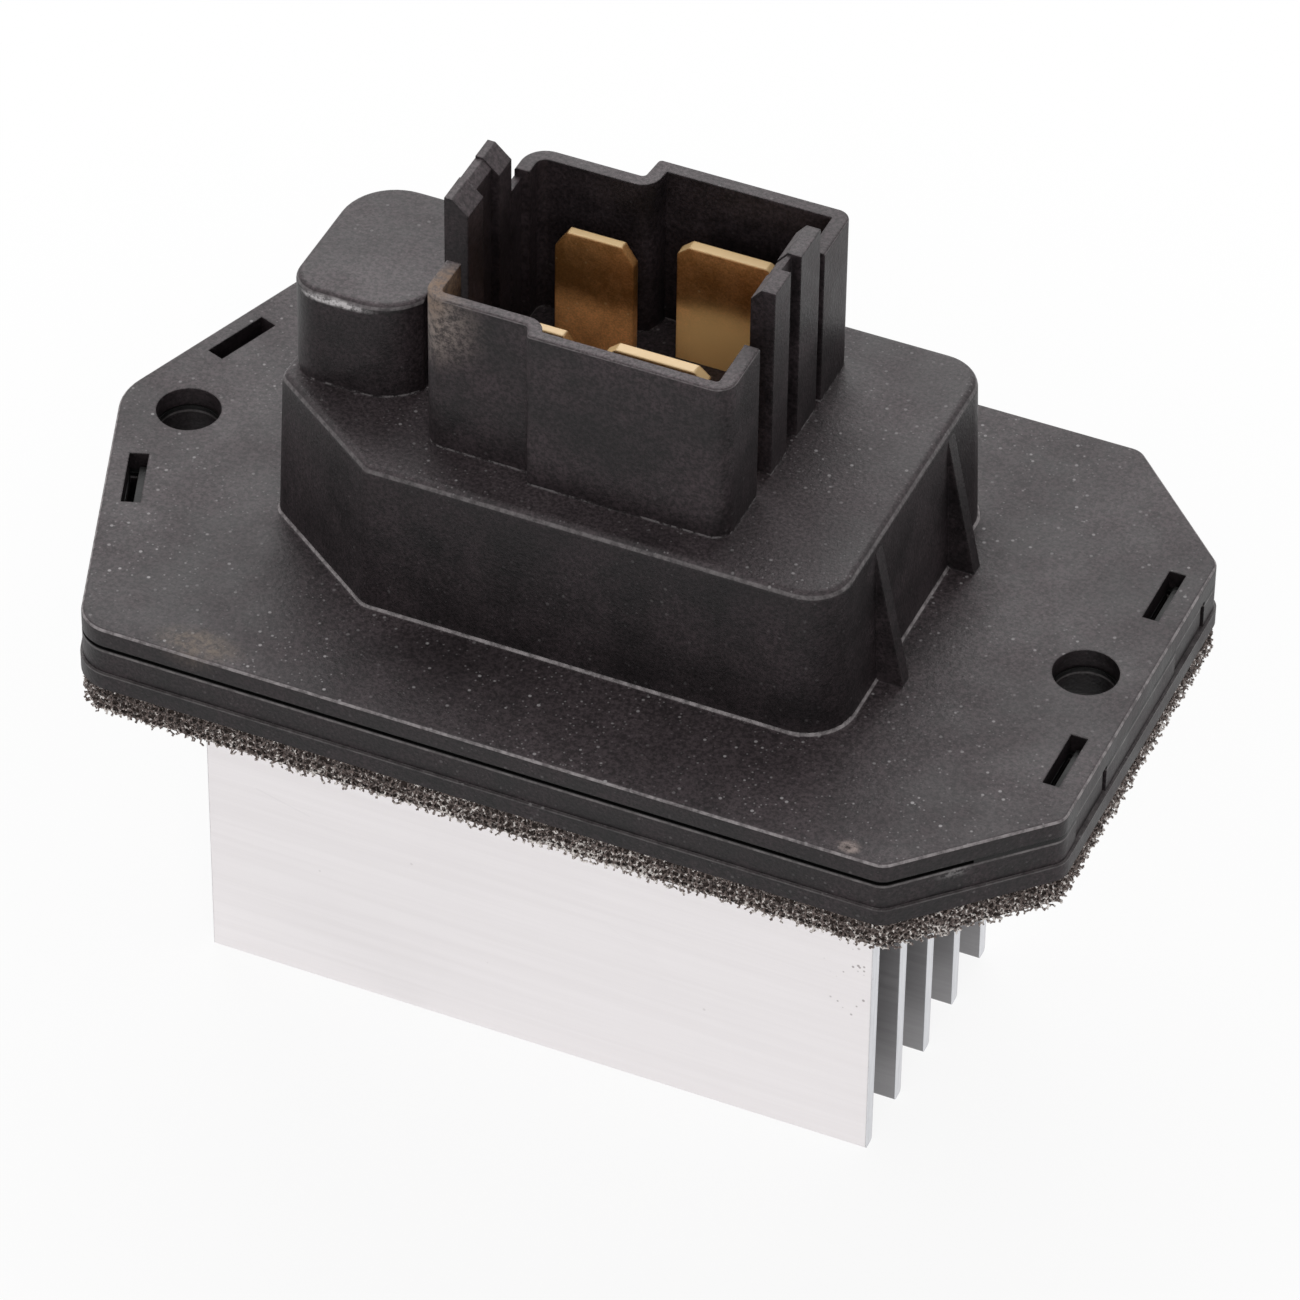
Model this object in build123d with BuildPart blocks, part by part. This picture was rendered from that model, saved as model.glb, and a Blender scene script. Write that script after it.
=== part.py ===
import os
from math import atan2, cos, degrees, radians, sin, tan

from build123d import *

os.makedirs("parts", exist_ok=True)

# All sizes are in millimetres. The origin is midway between the two screw holes, on the
# underside of the lower frame, with X along the length and Z up through the connector.

# Heatsink extrusion, which sets how far apart the screws are
heatsink_length = 55.0
screw_margin_left = 6.9
screw_margin_right = 11.1
fin_count = 5
fin_pitch = 5.75
fin_root_thickness = 1.6
fin_tip_thickness = 1.25
fin_tip_z = -37.0
fin_tip_radius = 0.35
fin_root_radius = 0.5
base_under = 1.0
flange_width = 2.7

# Flange plate, with a pointed left end and a square right end with two bevels
plate_half_width = 25.5
plate_right_margin = 4.5
plate_bevel = 10.0
plate_apex_margin = 5.7
plate_shoulder_inset = 3.5
plate_thickness = 1.6
plate_bevel_radius = 1.6
plate_apex_radius = 5.0
plate_shoulder_radius = 3.0
plate_edge_radius = 0.25
screw_hole_radius = 2.5

# Lower frame
frame_height = 4.0
frame_floor = 1.6
frame_wall = 1.8
frame_lip_height = 1.45
frame_lip_proud = 0.2
seam_gap = 0.3
seam_depth = 0.8
seam_closed_run = 5.0
frame_hole_radius = 2.38
screw_boss_radius = 4.6
ledge_height = 1.2
heatsink_clearance = 0.15
frame_rib = 1.2
frame_rib_pitch = 12.0
end_window_length = 6.0
end_window_depth = 0.15
end_window_slit = 0.4
end_window_slit_depth = 1.0
end_window_shift = 0.5

# Snap windows in the plate and the hooks that stand in them
snap_length = 5.7
snap_right_width = 1.3
snap_left_width = 1.5
snap_right_margin = 2.15
snap_right_back_y = 10.35
snap_right_front_y = -9.6
snap_left_margin = 0.1
snap_left_back_y = 9.4
snap_left_front_y = -8.9
snap_ledge = 0.2
snap_ledge_height = 0.25
hook_length = 5.0
hook_thickness = 0.45
hook_barb = 0.2
hook_head = 0.35
hook_gap = 0.05
snap_pocket_floor = 1.0
snap_block = 2.6

# Foam gasket
gasket_thickness = 2.6
gasket_inset = 0.3
gasket_window_gap = 1.0
gasket_hole_radius = 3.6

# Raised chamber on the plate
chamber_left_x = -24.9
chamber_right_x = 22.4
chamber_front_y = -14.65
chamber_back_y = 15.25
chamber_height = 13.0
chamber_bevel_x = 10.3
chamber_bevel_y = 7.2
chamber_corner_radius = 3.3
chamber_bevel_radius = 1.2
chamber_draft = 2.0
chamber_wall = 1.8
chamber_roof = 2.0
chamber_edge_radius = 0.7
chamber_foot_radius = 0.3

# Rounded capacitor chamber
cap_left_x = -24.5
cap_right_x = -13.9
cap_front_y = -7.2
cap_back_y = 6.8
cap_height = 8.5
cap_front_left_radius = 2.5
cap_front_right_radius = 4.5
cap_back_left_radius = 4.4
cap_back_right_radius = 4.0
cap_edge_radius = 0.55
cap_wall = 1.2
cap_inner_radius = 3.0

# Connector shroud, wider on its right half
shroud_left_x = -12.05
shroud_right_x = 12.6
shroud_front_left_y = -10.4
shroud_front_right_y = -11.6
shroud_back_left_y = 9.0
shroud_back_right_y = 11.3
shroud_front_step_x = -3.6
shroud_front_step_run = 0.5
shroud_back_step_x = -3.0
shroud_back_step_run = 0.2
shroud_height = 13.8
shroud_wall = 1.2
shroud_front_thinner = 0.3
shroud_front_left_radius = 1.6
shroud_back_left_radius = 2.0
shroud_front_right_radius = 1.5
shroud_back_right_radius = 1.1
shroud_step_radius = 0.35
shroud_rim_radius = 0.2
end_gap_front_y = -6.0
end_gap_back_y = 5.9

# Keyed guides at the two ends of the shroud
guide_thickness = 1.9
left_guide_x = -13.43
left_guide_front_y = -3.3
left_guide_back_y = 4.25
left_guide_height = 17.1
left_guide_lead = 1.2
left_guide_flat = 0.6
left_groove_front_y = -0.65
left_groove_back_y = 2.1
left_groove_depth = 0.62
left_groove_drop = 0.15
left_web_thickness = 0.6
left_web_drop = 0.7
right_guide_x = 10.7
right_guide_front_y = -3.35
right_guide_back_y = 4.95
right_guide_height = 16.8
right_guide_lead = 0.95
right_guide_flat = 1.1
right_groove_front_y = -0.55
right_groove_back_y = 1.4
right_groove_depth = 0.8
right_groove_drop = 0.18

# Gussets on the right wall of the chamber
gusset_front_y = -6.5
gusset_back_y = 7.35
gusset_thickness = 1.2
gusset_foot_run = 2.55
gusset_drop = 0.8

# Blade terminals
signal_width = 6.3
signal_thickness = 0.8
signal_chamfer = 1.0
signal_chamfer_height = 1.5
power_width = 8.0
power_thickness = 1.0
power_chamfer = 0.95
power_chamfer_height = 0.8
blade_length = 10.5
blade_tip_radius = 0.1
shoulder_width = 0.6
shoulder_height = 1.5
slot_clearance = 0.05
signal_back_x = -4.93
signal_back_y = 4.75
signal_front_x = -4.6
signal_front_y = -6.4
power_back_x = 4.82
power_back_y = 6.85
power_front_x = 4.72
power_front_y = -6.2
tail_width = 3.0
tail_clearance = 0.15
tail_past_board = 1.2

# Circuit board and the posts that hold it
board_z = 11.6
board_thickness = 1.6
board_edge_gap = 0.6
board_corner_radius = 1.5
post_radius = 1.7
pin_radius = 0.95
pin_clearance = 0.05
pin_head_height = 0.7
post_places = [(17.2, -9.6), (17.2, 10.2), (-11.5, -10.2), (-11.5, 10.8)]
access_hole_radius = 3.4

# Power transistor on its insulating pad
pad_thickness = 0.3
pad_margin = 1.0
transistor_length = 20.9
transistor_width = 15.9
transistor_thickness = 5.0
transistor_hole_offset = 6.15
transistor_hole_radius = 1.8
tab_end_inset = 4.4
tab_width = 13.4
tab_thickness = 2.0
lead_width = 1.2
lead_thickness = 0.6
lead_pitch = 5.45
lead_line_x = 11.0
lead_height = 2.3
lead_reach = 3.8
lead_above_board = 1.1
lead_hole_radius = 0.85
screw_radius = 1.5
screw_depth = 4.5
screw_head_radius = 2.75
screw_head_height = 1.6
drive_width = 1.6
drive_depth = 0.9
washer_radius = 3.4
washer_thickness = 0.5

# Capacitor standing in its chamber
capacitor_radius = 4.0
capacitor_height = 11.5
capacitor_x = -19.3
capacitor_y = -0.1
capacitor_edge_radius = 0.5
seal_radius = 3.4
seal_height = 1.4
capacitor_lead_radius = 0.3
capacitor_lead_pitch = 3.5
capacitor_lead_below = 1.0

# Small parts on the board
chip_x = 16.2
chip_y = 2.6
chip_length = 4.9
chip_width = 3.9
chip_height = 1.5
chip_lead_pitch = 1.27
chip_lead_width = 0.42
chip_lead_thickness = 0.2
chip_lead_reach = 1.05
resistor_length = 2.0
resistor_width = 1.25
resistor_height = 0.55
resistor_places = [(14.0, -3.4), (14.0, -5.6), (10.6, 9.8), (-8.2, -10.6), (-4.2, 10.6), (0.4, 11.0)]
sense_length = 6.3
sense_width = 3.2
sense_height = 0.7
sense_gap = 0.35
sense_y = 0.5
diode_length = 4.4
diode_width = 3.6
diode_height = 2.2
diode_x = -13.4
diode_y = 4.6
joint_radius = 1.5
joint_top_radius = 0.75
joint_height = 0.8

# Levels worked out from the sizes above
plate_bottom = frame_height
plate_top = plate_bottom + plate_thickness
chamber_top = plate_top + chamber_height
roof_underside = chamber_top - chamber_roof
cap_top = chamber_top + cap_height
shroud_top = chamber_top + shroud_height
left_guide_top = chamber_top + left_guide_height
right_guide_top = chamber_top + right_guide_height
blade_top = chamber_top + blade_length
board_top = board_z + board_thickness
tail_bottom = board_z - tail_past_board
draft_run = chamber_height * tan(radians(chamber_draft))
screw_spacing = heatsink_length + screw_margin_left + screw_margin_right
heatsink_left_x = -screw_spacing / 2 + screw_margin_left
heatsink_centre_x = heatsink_left_x + heatsink_length / 2
plate_right_x = screw_spacing / 2 + plate_right_margin
plate_apex_x = -screw_spacing / 2 - plate_apex_margin
plate_shoulder_x = -screw_spacing / 2 + plate_shoulder_inset
fins_half_width = fin_pitch * (fin_count - 1) / 2 + fin_root_thickness / 2
flange_half_width = fins_half_width + flange_width
transistor_left_x = lead_line_x + lead_thickness / 2 - lead_reach - transistor_length
tab_length = transistor_length - tab_end_inset
sense_x = lead_line_x - joint_radius - sense_gap - sense_length / 2
snap_right_x = screw_spacing / 2 + snap_right_margin
snap_left_x = -screw_spacing / 2 - snap_left_margin
snap_left_angle = degrees(atan2(plate_half_width, plate_shoulder_x - plate_apex_x))
# Each snap window's centre, how far it is turned, and its width
snap_places = [
    (snap_right_x, snap_right_front_y, 0, snap_right_width),
    (snap_right_x, snap_right_back_y, 0, snap_right_width),
    (snap_left_x, snap_left_front_y, 90 - snap_left_angle, snap_left_width),
    (snap_left_x, snap_left_back_y, snap_left_angle - 90, snap_left_width),
]

# Outlines used by more than one piece
with BuildSketch() as plate_outline:
    with BuildLine():
        Polyline(
            (plate_apex_x, 0),
            (plate_shoulder_x, -plate_half_width),
            (plate_right_x - plate_bevel, -plate_half_width),
            (plate_right_x, -plate_half_width + plate_bevel),
            (plate_right_x, plate_half_width - plate_bevel),
            (plate_right_x - plate_bevel, plate_half_width),
            (plate_shoulder_x, plate_half_width),
            close=True,
        )
    make_face()
    apex = plate_outline.vertices().sort_by_distance((plate_apex_x, 0, 0))[0]
    fillet(apex, radius=plate_apex_radius)
    for side in (-1, 1):
        shoulder = plate_outline.vertices().sort_by_distance((plate_shoulder_x, side * plate_half_width, 0))[0]
        fillet(shoulder, radius=plate_shoulder_radius)
        for x, y in (
            (plate_right_x - plate_bevel, side * plate_half_width),
            (plate_right_x, side * (plate_half_width - plate_bevel)),
        ):
            bevel_corner = plate_outline.vertices().sort_by_distance((x, y, 0))[0]
            fillet(bevel_corner, radius=plate_bevel_radius)

with BuildSketch() as chamber_outline:
    with BuildLine():
        Polyline(
            (chamber_left_x, chamber_front_y + chamber_bevel_y),
            (chamber_left_x + chamber_bevel_x, chamber_front_y),
            (chamber_right_x, chamber_front_y),
            (chamber_right_x, chamber_back_y),
            (chamber_left_x + chamber_bevel_x, chamber_back_y),
            (chamber_left_x, chamber_back_y - chamber_bevel_y),
            close=True,
        )
    make_face()
    for x, y, radius in (
        (chamber_right_x, chamber_front_y, chamber_corner_radius),
        (chamber_right_x, chamber_back_y, chamber_corner_radius),
        (chamber_left_x, chamber_front_y + chamber_bevel_y, chamber_bevel_radius),
        (chamber_left_x + chamber_bevel_x, chamber_front_y, chamber_bevel_radius),
        (chamber_left_x + chamber_bevel_x, chamber_back_y, chamber_bevel_radius),
        (chamber_left_x, chamber_back_y - chamber_bevel_y, chamber_bevel_radius),
    ):
        chamber_corner = chamber_outline.vertices().sort_by_distance((x, y, 0))[0]
        fillet(chamber_corner, radius=radius)

with BuildSketch() as shroud_outline:
    with BuildLine():
        Polyline(
            (shroud_left_x, shroud_front_left_y),
            (shroud_front_step_x, shroud_front_left_y),
            (shroud_front_step_x + shroud_front_step_run, shroud_front_right_y),
            (shroud_right_x, shroud_front_right_y),
            (shroud_right_x, shroud_back_right_y),
            (shroud_back_step_x + shroud_back_step_run, shroud_back_right_y),
            (shroud_back_step_x, shroud_back_left_y),
            (shroud_left_x, shroud_back_left_y),
            close=True,
        )
    make_face()
    for x, y, radius in (
        (shroud_front_step_x, shroud_front_left_y, shroud_step_radius),
        (shroud_front_step_x + shroud_front_step_run, shroud_front_right_y, shroud_step_radius),
        (shroud_back_step_x, shroud_back_left_y, shroud_step_radius),
        (shroud_back_step_x + shroud_back_step_run, shroud_back_right_y, shroud_step_radius),
        (shroud_left_x, shroud_front_left_y, shroud_front_left_radius),
        (shroud_left_x, shroud_back_left_y, shroud_back_left_radius),
        (shroud_right_x, shroud_front_right_y, shroud_front_right_radius),
        (shroud_right_x, shroud_back_right_y, shroud_back_right_radius),
    ):
        shroud_corner = shroud_outline.vertices().sort_by_distance((x, y, 0))[0]
        fillet(shroud_corner, radius=radius)

with BuildSketch() as cap_outline:
    with Locations(((cap_left_x + cap_right_x) / 2, (cap_front_y + cap_back_y) / 2)):
        Rectangle(cap_right_x - cap_left_x, cap_back_y - cap_front_y)
    for x, y, radius in (
        (cap_left_x, cap_front_y, cap_front_left_radius),
        (cap_right_x, cap_front_y, cap_front_right_radius),
        (cap_left_x, cap_back_y, cap_back_left_radius),
        (cap_right_x, cap_back_y, cap_back_right_radius),
    ):
        cap_corner = cap_outline.vertices().sort_by_distance((x, y, 0))[0]
        fillet(cap_corner, radius=radius)

with BuildPart() as upper_housing:
    # Flange plate with a soft top edge
    with BuildSketch(Plane.XY.offset(plate_bottom)):
        add(plate_outline.sketch)
    extrude(amount=plate_thickness)
    plate_rim = upper_housing.faces().sort_by(Axis.Z)[-1].edges()
    fillet(plate_rim, radius=plate_edge_radius)
    # Raised chamber with draft on its walls
    with BuildSketch(Plane.XY.offset(plate_top)):
        add(chamber_outline.sketch)
        offset(amount=draft_run)
    extrude(amount=chamber_height, taper=chamber_draft)
    roof_rim = upper_housing.faces().sort_by(Axis.Z)[-1].edges()
    fillet(roof_rim, radius=chamber_edge_radius)
    foot = upper_housing.edges().filter_by_position(Axis.Z, plate_top - 0.01, plate_top + 0.01)
    foot = foot.filter_by_position(Axis.X, chamber_left_x - 1.5, chamber_right_x + 1.5)
    foot = foot.filter_by_position(Axis.Y, chamber_front_y - 1.5, chamber_back_y + 1.5)
    fillet(foot, radius=chamber_foot_radius)
    # Rounded chamber over the capacitor, sunk a little into the roof
    with BuildSketch(Plane.XY.offset(chamber_top - 1.0)):
        add(cap_outline.sketch)
    extrude(amount=cap_height + 1.0)
    cap_rim = upper_housing.faces().sort_by(Axis.Z)[-1].edges()
    fillet(cap_rim, radius=cap_edge_radius)
    # Stepped connector shroud
    with BuildSketch(Plane.XY.offset(chamber_top)):
        add(shroud_outline.sketch)
    extrude(amount=shroud_height)
    shroud_rim = upper_housing.faces().sort_by(Axis.Z)[-1].edges()
    fillet(shroud_rim, radius=shroud_rim_radius)
    with BuildSketch(Plane.XY.offset(chamber_top)):
        add(shroud_outline.sketch)
        offset(amount=-shroud_wall, kind=Kind.INTERSECTION)
    extrude(amount=shroud_height, mode=Mode.SUBTRACT)
    # The front wall is thinner than the back one
    with BuildSketch(Plane((0, -shroud_front_thinner, chamber_top))):
        add(shroud_outline.sketch)
        offset(amount=-shroud_wall, kind=Kind.INTERSECTION)
    extrude(amount=shroud_height, mode=Mode.SUBTRACT)
    # Openings in both end walls, down to the roof
    with BuildSketch(Plane.XY.offset(chamber_top)):
        with Locations((shroud_left_x, (end_gap_front_y + end_gap_back_y) / 2)):
            Rectangle(4 * shroud_wall, end_gap_back_y - end_gap_front_y)
        with Locations((shroud_right_x, (end_gap_front_y + end_gap_back_y) / 2)):
            Rectangle(4 * shroud_wall, end_gap_back_y - end_gap_front_y)
    extrude(amount=shroud_height, mode=Mode.SUBTRACT)
    # Left guide: flat outside, grooved inside, its top sloping down into the socket
    with BuildSketch(Plane.XZ.offset(-left_guide_back_y)):
        with BuildLine():
            Polyline(
                (left_guide_x, chamber_top - 0.5),
                (left_guide_x + guide_thickness, chamber_top - 0.5),
                (left_guide_x + guide_thickness, left_guide_top - left_guide_lead),
                (left_guide_x + left_guide_flat, left_guide_top),
                (left_guide_x, left_guide_top),
                close=True,
            )
        make_face()
    extrude(amount=left_guide_back_y - left_guide_front_y)
    # Thin web that joins the left guide to the wall behind it
    with Locations((shroud_left_x, left_guide_back_y - 0.1, chamber_top - 0.1)):
        Box(
            left_web_thickness,
            end_gap_back_y - left_guide_back_y + 0.2,
            shroud_height - left_web_drop + 0.1,
            align=(Align.MIN, Align.MIN, Align.MIN),
        )
    with BuildSketch(Plane.XY.offset(chamber_top)):
        with Locations(
            (
                left_guide_x + guide_thickness - left_groove_depth / 2,
                (left_groove_front_y + left_groove_back_y) / 2,
            )
        ):
            Rectangle(left_groove_depth, left_groove_back_y - left_groove_front_y)
    extrude(amount=left_guide_height, mode=Mode.SUBTRACT)
    # The guide's top is a little lower along the groove
    with BuildSketch(Plane.XZ.offset(-left_groove_back_y)):
        with BuildLine():
            Polyline(
                (left_guide_x - 0.5, left_guide_top - left_groove_drop),
                (left_guide_x + left_guide_flat, left_guide_top - left_groove_drop),
                (left_guide_x + guide_thickness, left_guide_top - left_guide_lead - left_groove_drop),
                (left_guide_x + guide_thickness + 0.5, left_guide_top - left_guide_lead - left_groove_drop),
                (left_guide_x + guide_thickness + 0.5, left_guide_top + 1.0),
                (left_guide_x - 0.5, left_guide_top + 1.0),
                close=True,
            )
        make_face()
    extrude(amount=left_groove_back_y - left_groove_front_y, mode=Mode.SUBTRACT)
    # Right guide: flat inside, grooved outside, with the same lead-in
    with BuildSketch(Plane.XZ.offset(-right_guide_back_y)):
        with BuildLine():
            Polyline(
                (right_guide_x, chamber_top - 0.5),
                (right_guide_x + guide_thickness, chamber_top - 0.5),
                (right_guide_x + guide_thickness, right_guide_top),
                (right_guide_x + guide_thickness - right_guide_flat, right_guide_top),
                (right_guide_x, right_guide_top - right_guide_lead),
                close=True,
            )
        make_face()
    extrude(amount=right_guide_back_y - right_guide_front_y)
    with BuildSketch(Plane.XY.offset(chamber_top)):
        with Locations(
            (
                right_guide_x + guide_thickness - right_groove_depth / 2,
                (right_groove_front_y + right_groove_back_y) / 2,
            )
        ):
            Rectangle(right_groove_depth, right_groove_back_y - right_groove_front_y)
    extrude(amount=right_guide_height, mode=Mode.SUBTRACT)
    with BuildSketch(Plane.XZ.offset(-right_groove_back_y)):
        with BuildLine():
            Polyline(
                (right_guide_x + guide_thickness + 0.5, right_guide_top - right_groove_drop),
                (right_guide_x + guide_thickness - right_guide_flat, right_guide_top - right_groove_drop),
                (right_guide_x, right_guide_top - right_guide_lead - right_groove_drop),
                (right_guide_x - 0.5, right_guide_top - right_guide_lead - right_groove_drop),
                (right_guide_x - 0.5, right_guide_top + 1.0),
                (right_guide_x + guide_thickness + 0.5, right_guide_top + 1.0),
                close=True,
            )
        make_face()
    extrude(amount=right_groove_back_y - right_groove_front_y, mode=Mode.SUBTRACT)
    # Two gussets between the right wall and the plate
    for y in (gusset_front_y, gusset_back_y):
        with BuildSketch(Plane.XZ.offset(-y - gusset_thickness / 2)):
            with BuildLine():
                Polyline(
                    (chamber_right_x - 1.0, plate_top),
                    (chamber_right_x + gusset_foot_run, plate_top),
                    (chamber_right_x, chamber_top - gusset_drop),
                    (chamber_right_x - 1.0, chamber_top - gusset_drop),
                    close=True,
                )
            make_face()
        extrude(amount=gusset_thickness)
    # Hollow inside the chamber, open underneath
    with BuildSketch(Plane.XY.offset(plate_bottom)):
        add(chamber_outline.sketch)
        offset(amount=draft_run - chamber_wall, kind=Kind.INTERSECTION)
    extrude(amount=roof_underside - plate_bottom, taper=chamber_draft, mode=Mode.SUBTRACT)
    # Hollow for the capacitor, which starts beside the circuit board
    with BuildSketch(Plane.XY.offset(board_z)):
        with Locations(((cap_left_x + cap_right_x) / 2, (cap_front_y + cap_back_y) / 2)):
            RectangleRounded(
                cap_right_x - cap_left_x - 2 * cap_wall,
                cap_back_y - cap_front_y - 2 * cap_wall,
                cap_inner_radius,
            )
    extrude(amount=cap_top - cap_wall - board_z, mode=Mode.SUBTRACT)
    # Slots in the roof for the four blades
    with BuildSketch(Plane.XY.offset(roof_underside)):
        for x, y, width, thickness in (
            (signal_back_x, signal_back_y, signal_width, signal_thickness),
            (signal_front_x, signal_front_y, signal_width, signal_thickness),
            (power_back_x, power_back_y, power_width, power_thickness),
            (power_front_x, power_front_y, power_width, power_thickness),
        ):
            with Locations((x, y)):
                Rectangle(width + 2 * slot_clearance, thickness + 2 * slot_clearance)
    extrude(amount=chamber_roof, mode=Mode.SUBTRACT)
    # Posts down to the circuit board, with pins through it and formed heads below
    for x, y in post_places:
        with Locations((x, y, board_top)):
            Cylinder(post_radius, chamber_top - board_top - 0.8, align=(Align.CENTER, Align.CENTER, Align.MIN))
        with Locations((x, y, board_z)):
            Cylinder(pin_radius, board_thickness, align=(Align.CENTER, Align.CENTER, Align.MIN))
        with Locations((x, y, board_z - pin_head_height)):
            Cylinder(post_radius, pin_head_height, align=(Align.CENTER, Align.CENTER, Align.MIN))
    # Screw holes
    with BuildSketch(Plane.XY.offset(plate_bottom)):
        with GridLocations(screw_spacing, 1, 2, 1):
            Circle(screw_hole_radius)
    extrude(amount=plate_thickness, mode=Mode.SUBTRACT)
    # Snap windows, each with a low ledge on its right side for the hook's barb
    for x, y, angle, width in snap_places:
        with BuildSketch(Plane.XY.offset(plate_bottom)):
            with Locations(Location((x, y, 0), (0, 0, angle))):
                with Locations((-snap_ledge / 2, 0)):
                    Rectangle(width - snap_ledge, snap_length)
        extrude(amount=plate_thickness, mode=Mode.SUBTRACT)
        with BuildSketch(Plane.XY.offset(plate_bottom + snap_ledge_height)):
            with Locations(Location((x, y, 0), (0, 0, angle))):
                Rectangle(width, snap_length)
        extrude(amount=plate_thickness, mode=Mode.SUBTRACT)

upper_housing.part.label = "upper_housing"
export_step(upper_housing.part, "parts/upper_housing.step")
print("upper housing", round(upper_housing.part.volume), len(upper_housing.solids()))

with BuildPart() as lower_frame:
    # Outer lip, main body and the raised inner land that meets the plate
    with BuildSketch():
        add(plate_outline.sketch)
        offset(amount=frame_lip_proud)
    extrude(amount=frame_lip_height)
    with BuildSketch(Plane.XY.offset(frame_lip_height)):
        add(plate_outline.sketch)
    extrude(amount=frame_height - seam_gap - frame_lip_height)
    with BuildSketch(Plane.XY.offset(frame_height - seam_gap)):
        add(plate_outline.sketch)
        offset(amount=-seam_depth)
    extrude(amount=seam_gap)
    # The seam is closed along the square end
    with BuildSketch(Plane.XY.offset(frame_height - seam_gap)):
        add(plate_outline.sketch)
        with Locations((plate_right_x, 0)):
            Rectangle(2 * seam_closed_run, 4 * plate_half_width, mode=Mode.INTERSECT)
    extrude(amount=seam_gap)
    # Hollow between the outer wall and the walls round the heatsink
    with BuildSketch(Plane.XY.offset(frame_floor)):
        add(plate_outline.sketch)
        offset(amount=-frame_wall)
        with Locations((heatsink_centre_x, 0)):
            Rectangle(
                heatsink_length + 2 * (heatsink_clearance + frame_wall),
                2 * (flange_half_width + heatsink_clearance + frame_wall),
                mode=Mode.SUBTRACT,
            )
        with GridLocations(screw_spacing, 1, 2, 1):
            Circle(screw_boss_radius, mode=Mode.SUBTRACT)
        # Ribs across the hollow
        with GridLocations(frame_rib_pitch, 1, 5, 1):
            Rectangle(frame_rib, 4 * plate_half_width, mode=Mode.SUBTRACT)
        for x, y, angle, width in snap_places:
            with Locations(Location((x, y, 0), (0, 0, angle))):
                Rectangle(snap_block, snap_length + 1.6, mode=Mode.SUBTRACT)
    extrude(amount=frame_height, mode=Mode.SUBTRACT)
    # Pocket for the heatsink's flanges, and the window its fins pass through
    with BuildSketch(Plane.XY.offset(ledge_height)):
        with Locations((heatsink_centre_x, 0)):
            Rectangle(heatsink_length + 2 * heatsink_clearance, 2 * (flange_half_width + heatsink_clearance))
    extrude(amount=frame_height, mode=Mode.SUBTRACT)
    with BuildSketch():
        with Locations((heatsink_centre_x, 0)):
            Rectangle(heatsink_length + 2 * heatsink_clearance, 2 * (fins_half_width + heatsink_clearance))
    extrude(amount=frame_height, mode=Mode.SUBTRACT)
    # Screw holes
    with BuildSketch():
        with GridLocations(screw_spacing, 1, 2, 1):
            Circle(frame_hole_radius)
    extrude(amount=frame_height, mode=Mode.SUBTRACT)
    # Snap hooks, each a stem in the window's narrow part with a barb on the ledge
    for x, y, angle, width in snap_places:
        stem_centre = width / 2 - snap_ledge - hook_gap - hook_thickness / 2
        with BuildSketch(Plane.XY.offset(frame_height)):
            with Locations(Location((x, y, 0), (0, 0, angle))):
                with Locations((stem_centre, 0)):
                    Rectangle(hook_thickness, hook_length)
        extrude(amount=snap_ledge_height + hook_head)
        with BuildSketch(Plane.XY.offset(frame_height + snap_ledge_height)):
            with Locations(Location((x, y, 0), (0, 0, angle))):
                with Locations((stem_centre + hook_barb / 2, 0)):
                    Rectangle(hook_thickness + hook_barb, hook_length)
        extrude(amount=hook_head)
    # Pocket beside each hook, which lets it bend back
    for x, y, angle, width in snap_places:
        pocket_width = width - snap_ledge - hook_thickness - 3 * hook_gap
        with BuildSketch(Plane.XY.offset(snap_pocket_floor)):
            with Locations(Location((x, y, 0), (0, 0, angle))):
                with Locations((hook_gap - width / 2 + pocket_width / 2, 0)):
                    Rectangle(pocket_width, hook_length)
        extrude(amount=frame_height, mode=Mode.SUBTRACT)
    # Shallow windows in the end wall beside each hook, with a slit at the far side
    for x, y, angle, width in snap_places:
        outward = -1 if x < 0 else 1
        # From the window's centre to the outer face of the end wall beside it
        if x > 0:
            reach = plate_right_x - x
        else:
            slope = radians(snap_left_angle)
            reach = (x - plate_apex_x) * sin(slope) - abs(y) * cos(slope)
        with BuildSketch(Plane.XY.offset(frame_lip_height)):
            with Locations(Location((x, y, 0), (0, 0, angle))):
                with Locations((outward * (reach + 2.0 - end_window_depth), -end_window_shift)):
                    Rectangle(4.0, end_window_length)
                with Locations(
                    (
                        outward * (reach + 2.0 - end_window_slit_depth),
                        end_window_length / 2 - end_window_shift - end_window_slit / 2,
                    )
                ):
                    Rectangle(4.0, end_window_slit)
        extrude(amount=frame_height, mode=Mode.SUBTRACT)

lower_frame.part.label = "lower_frame"
export_step(lower_frame.part, "parts/lower_frame.step")
print("lower frame", round(lower_frame.part.volume), len(lower_frame.solids()))

with BuildPart() as foam_gasket:
    with BuildSketch(Plane.XY.offset(-gasket_thickness)):
        add(plate_outline.sketch)
        offset(amount=-gasket_inset)
        with Locations((heatsink_centre_x, 0)):
            RectangleRounded(
                heatsink_length + 2 * gasket_window_gap,
                2 * (fins_half_width + gasket_window_gap),
                1.5,
                mode=Mode.SUBTRACT,
            )
        with GridLocations(screw_spacing, 1, 2, 1):
            Circle(gasket_hole_radius, mode=Mode.SUBTRACT)
    extrude(amount=gasket_thickness)
foam_gasket.part.label = "foam_gasket"
export_step(foam_gasket.part, "parts/foam_gasket.step")

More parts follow.
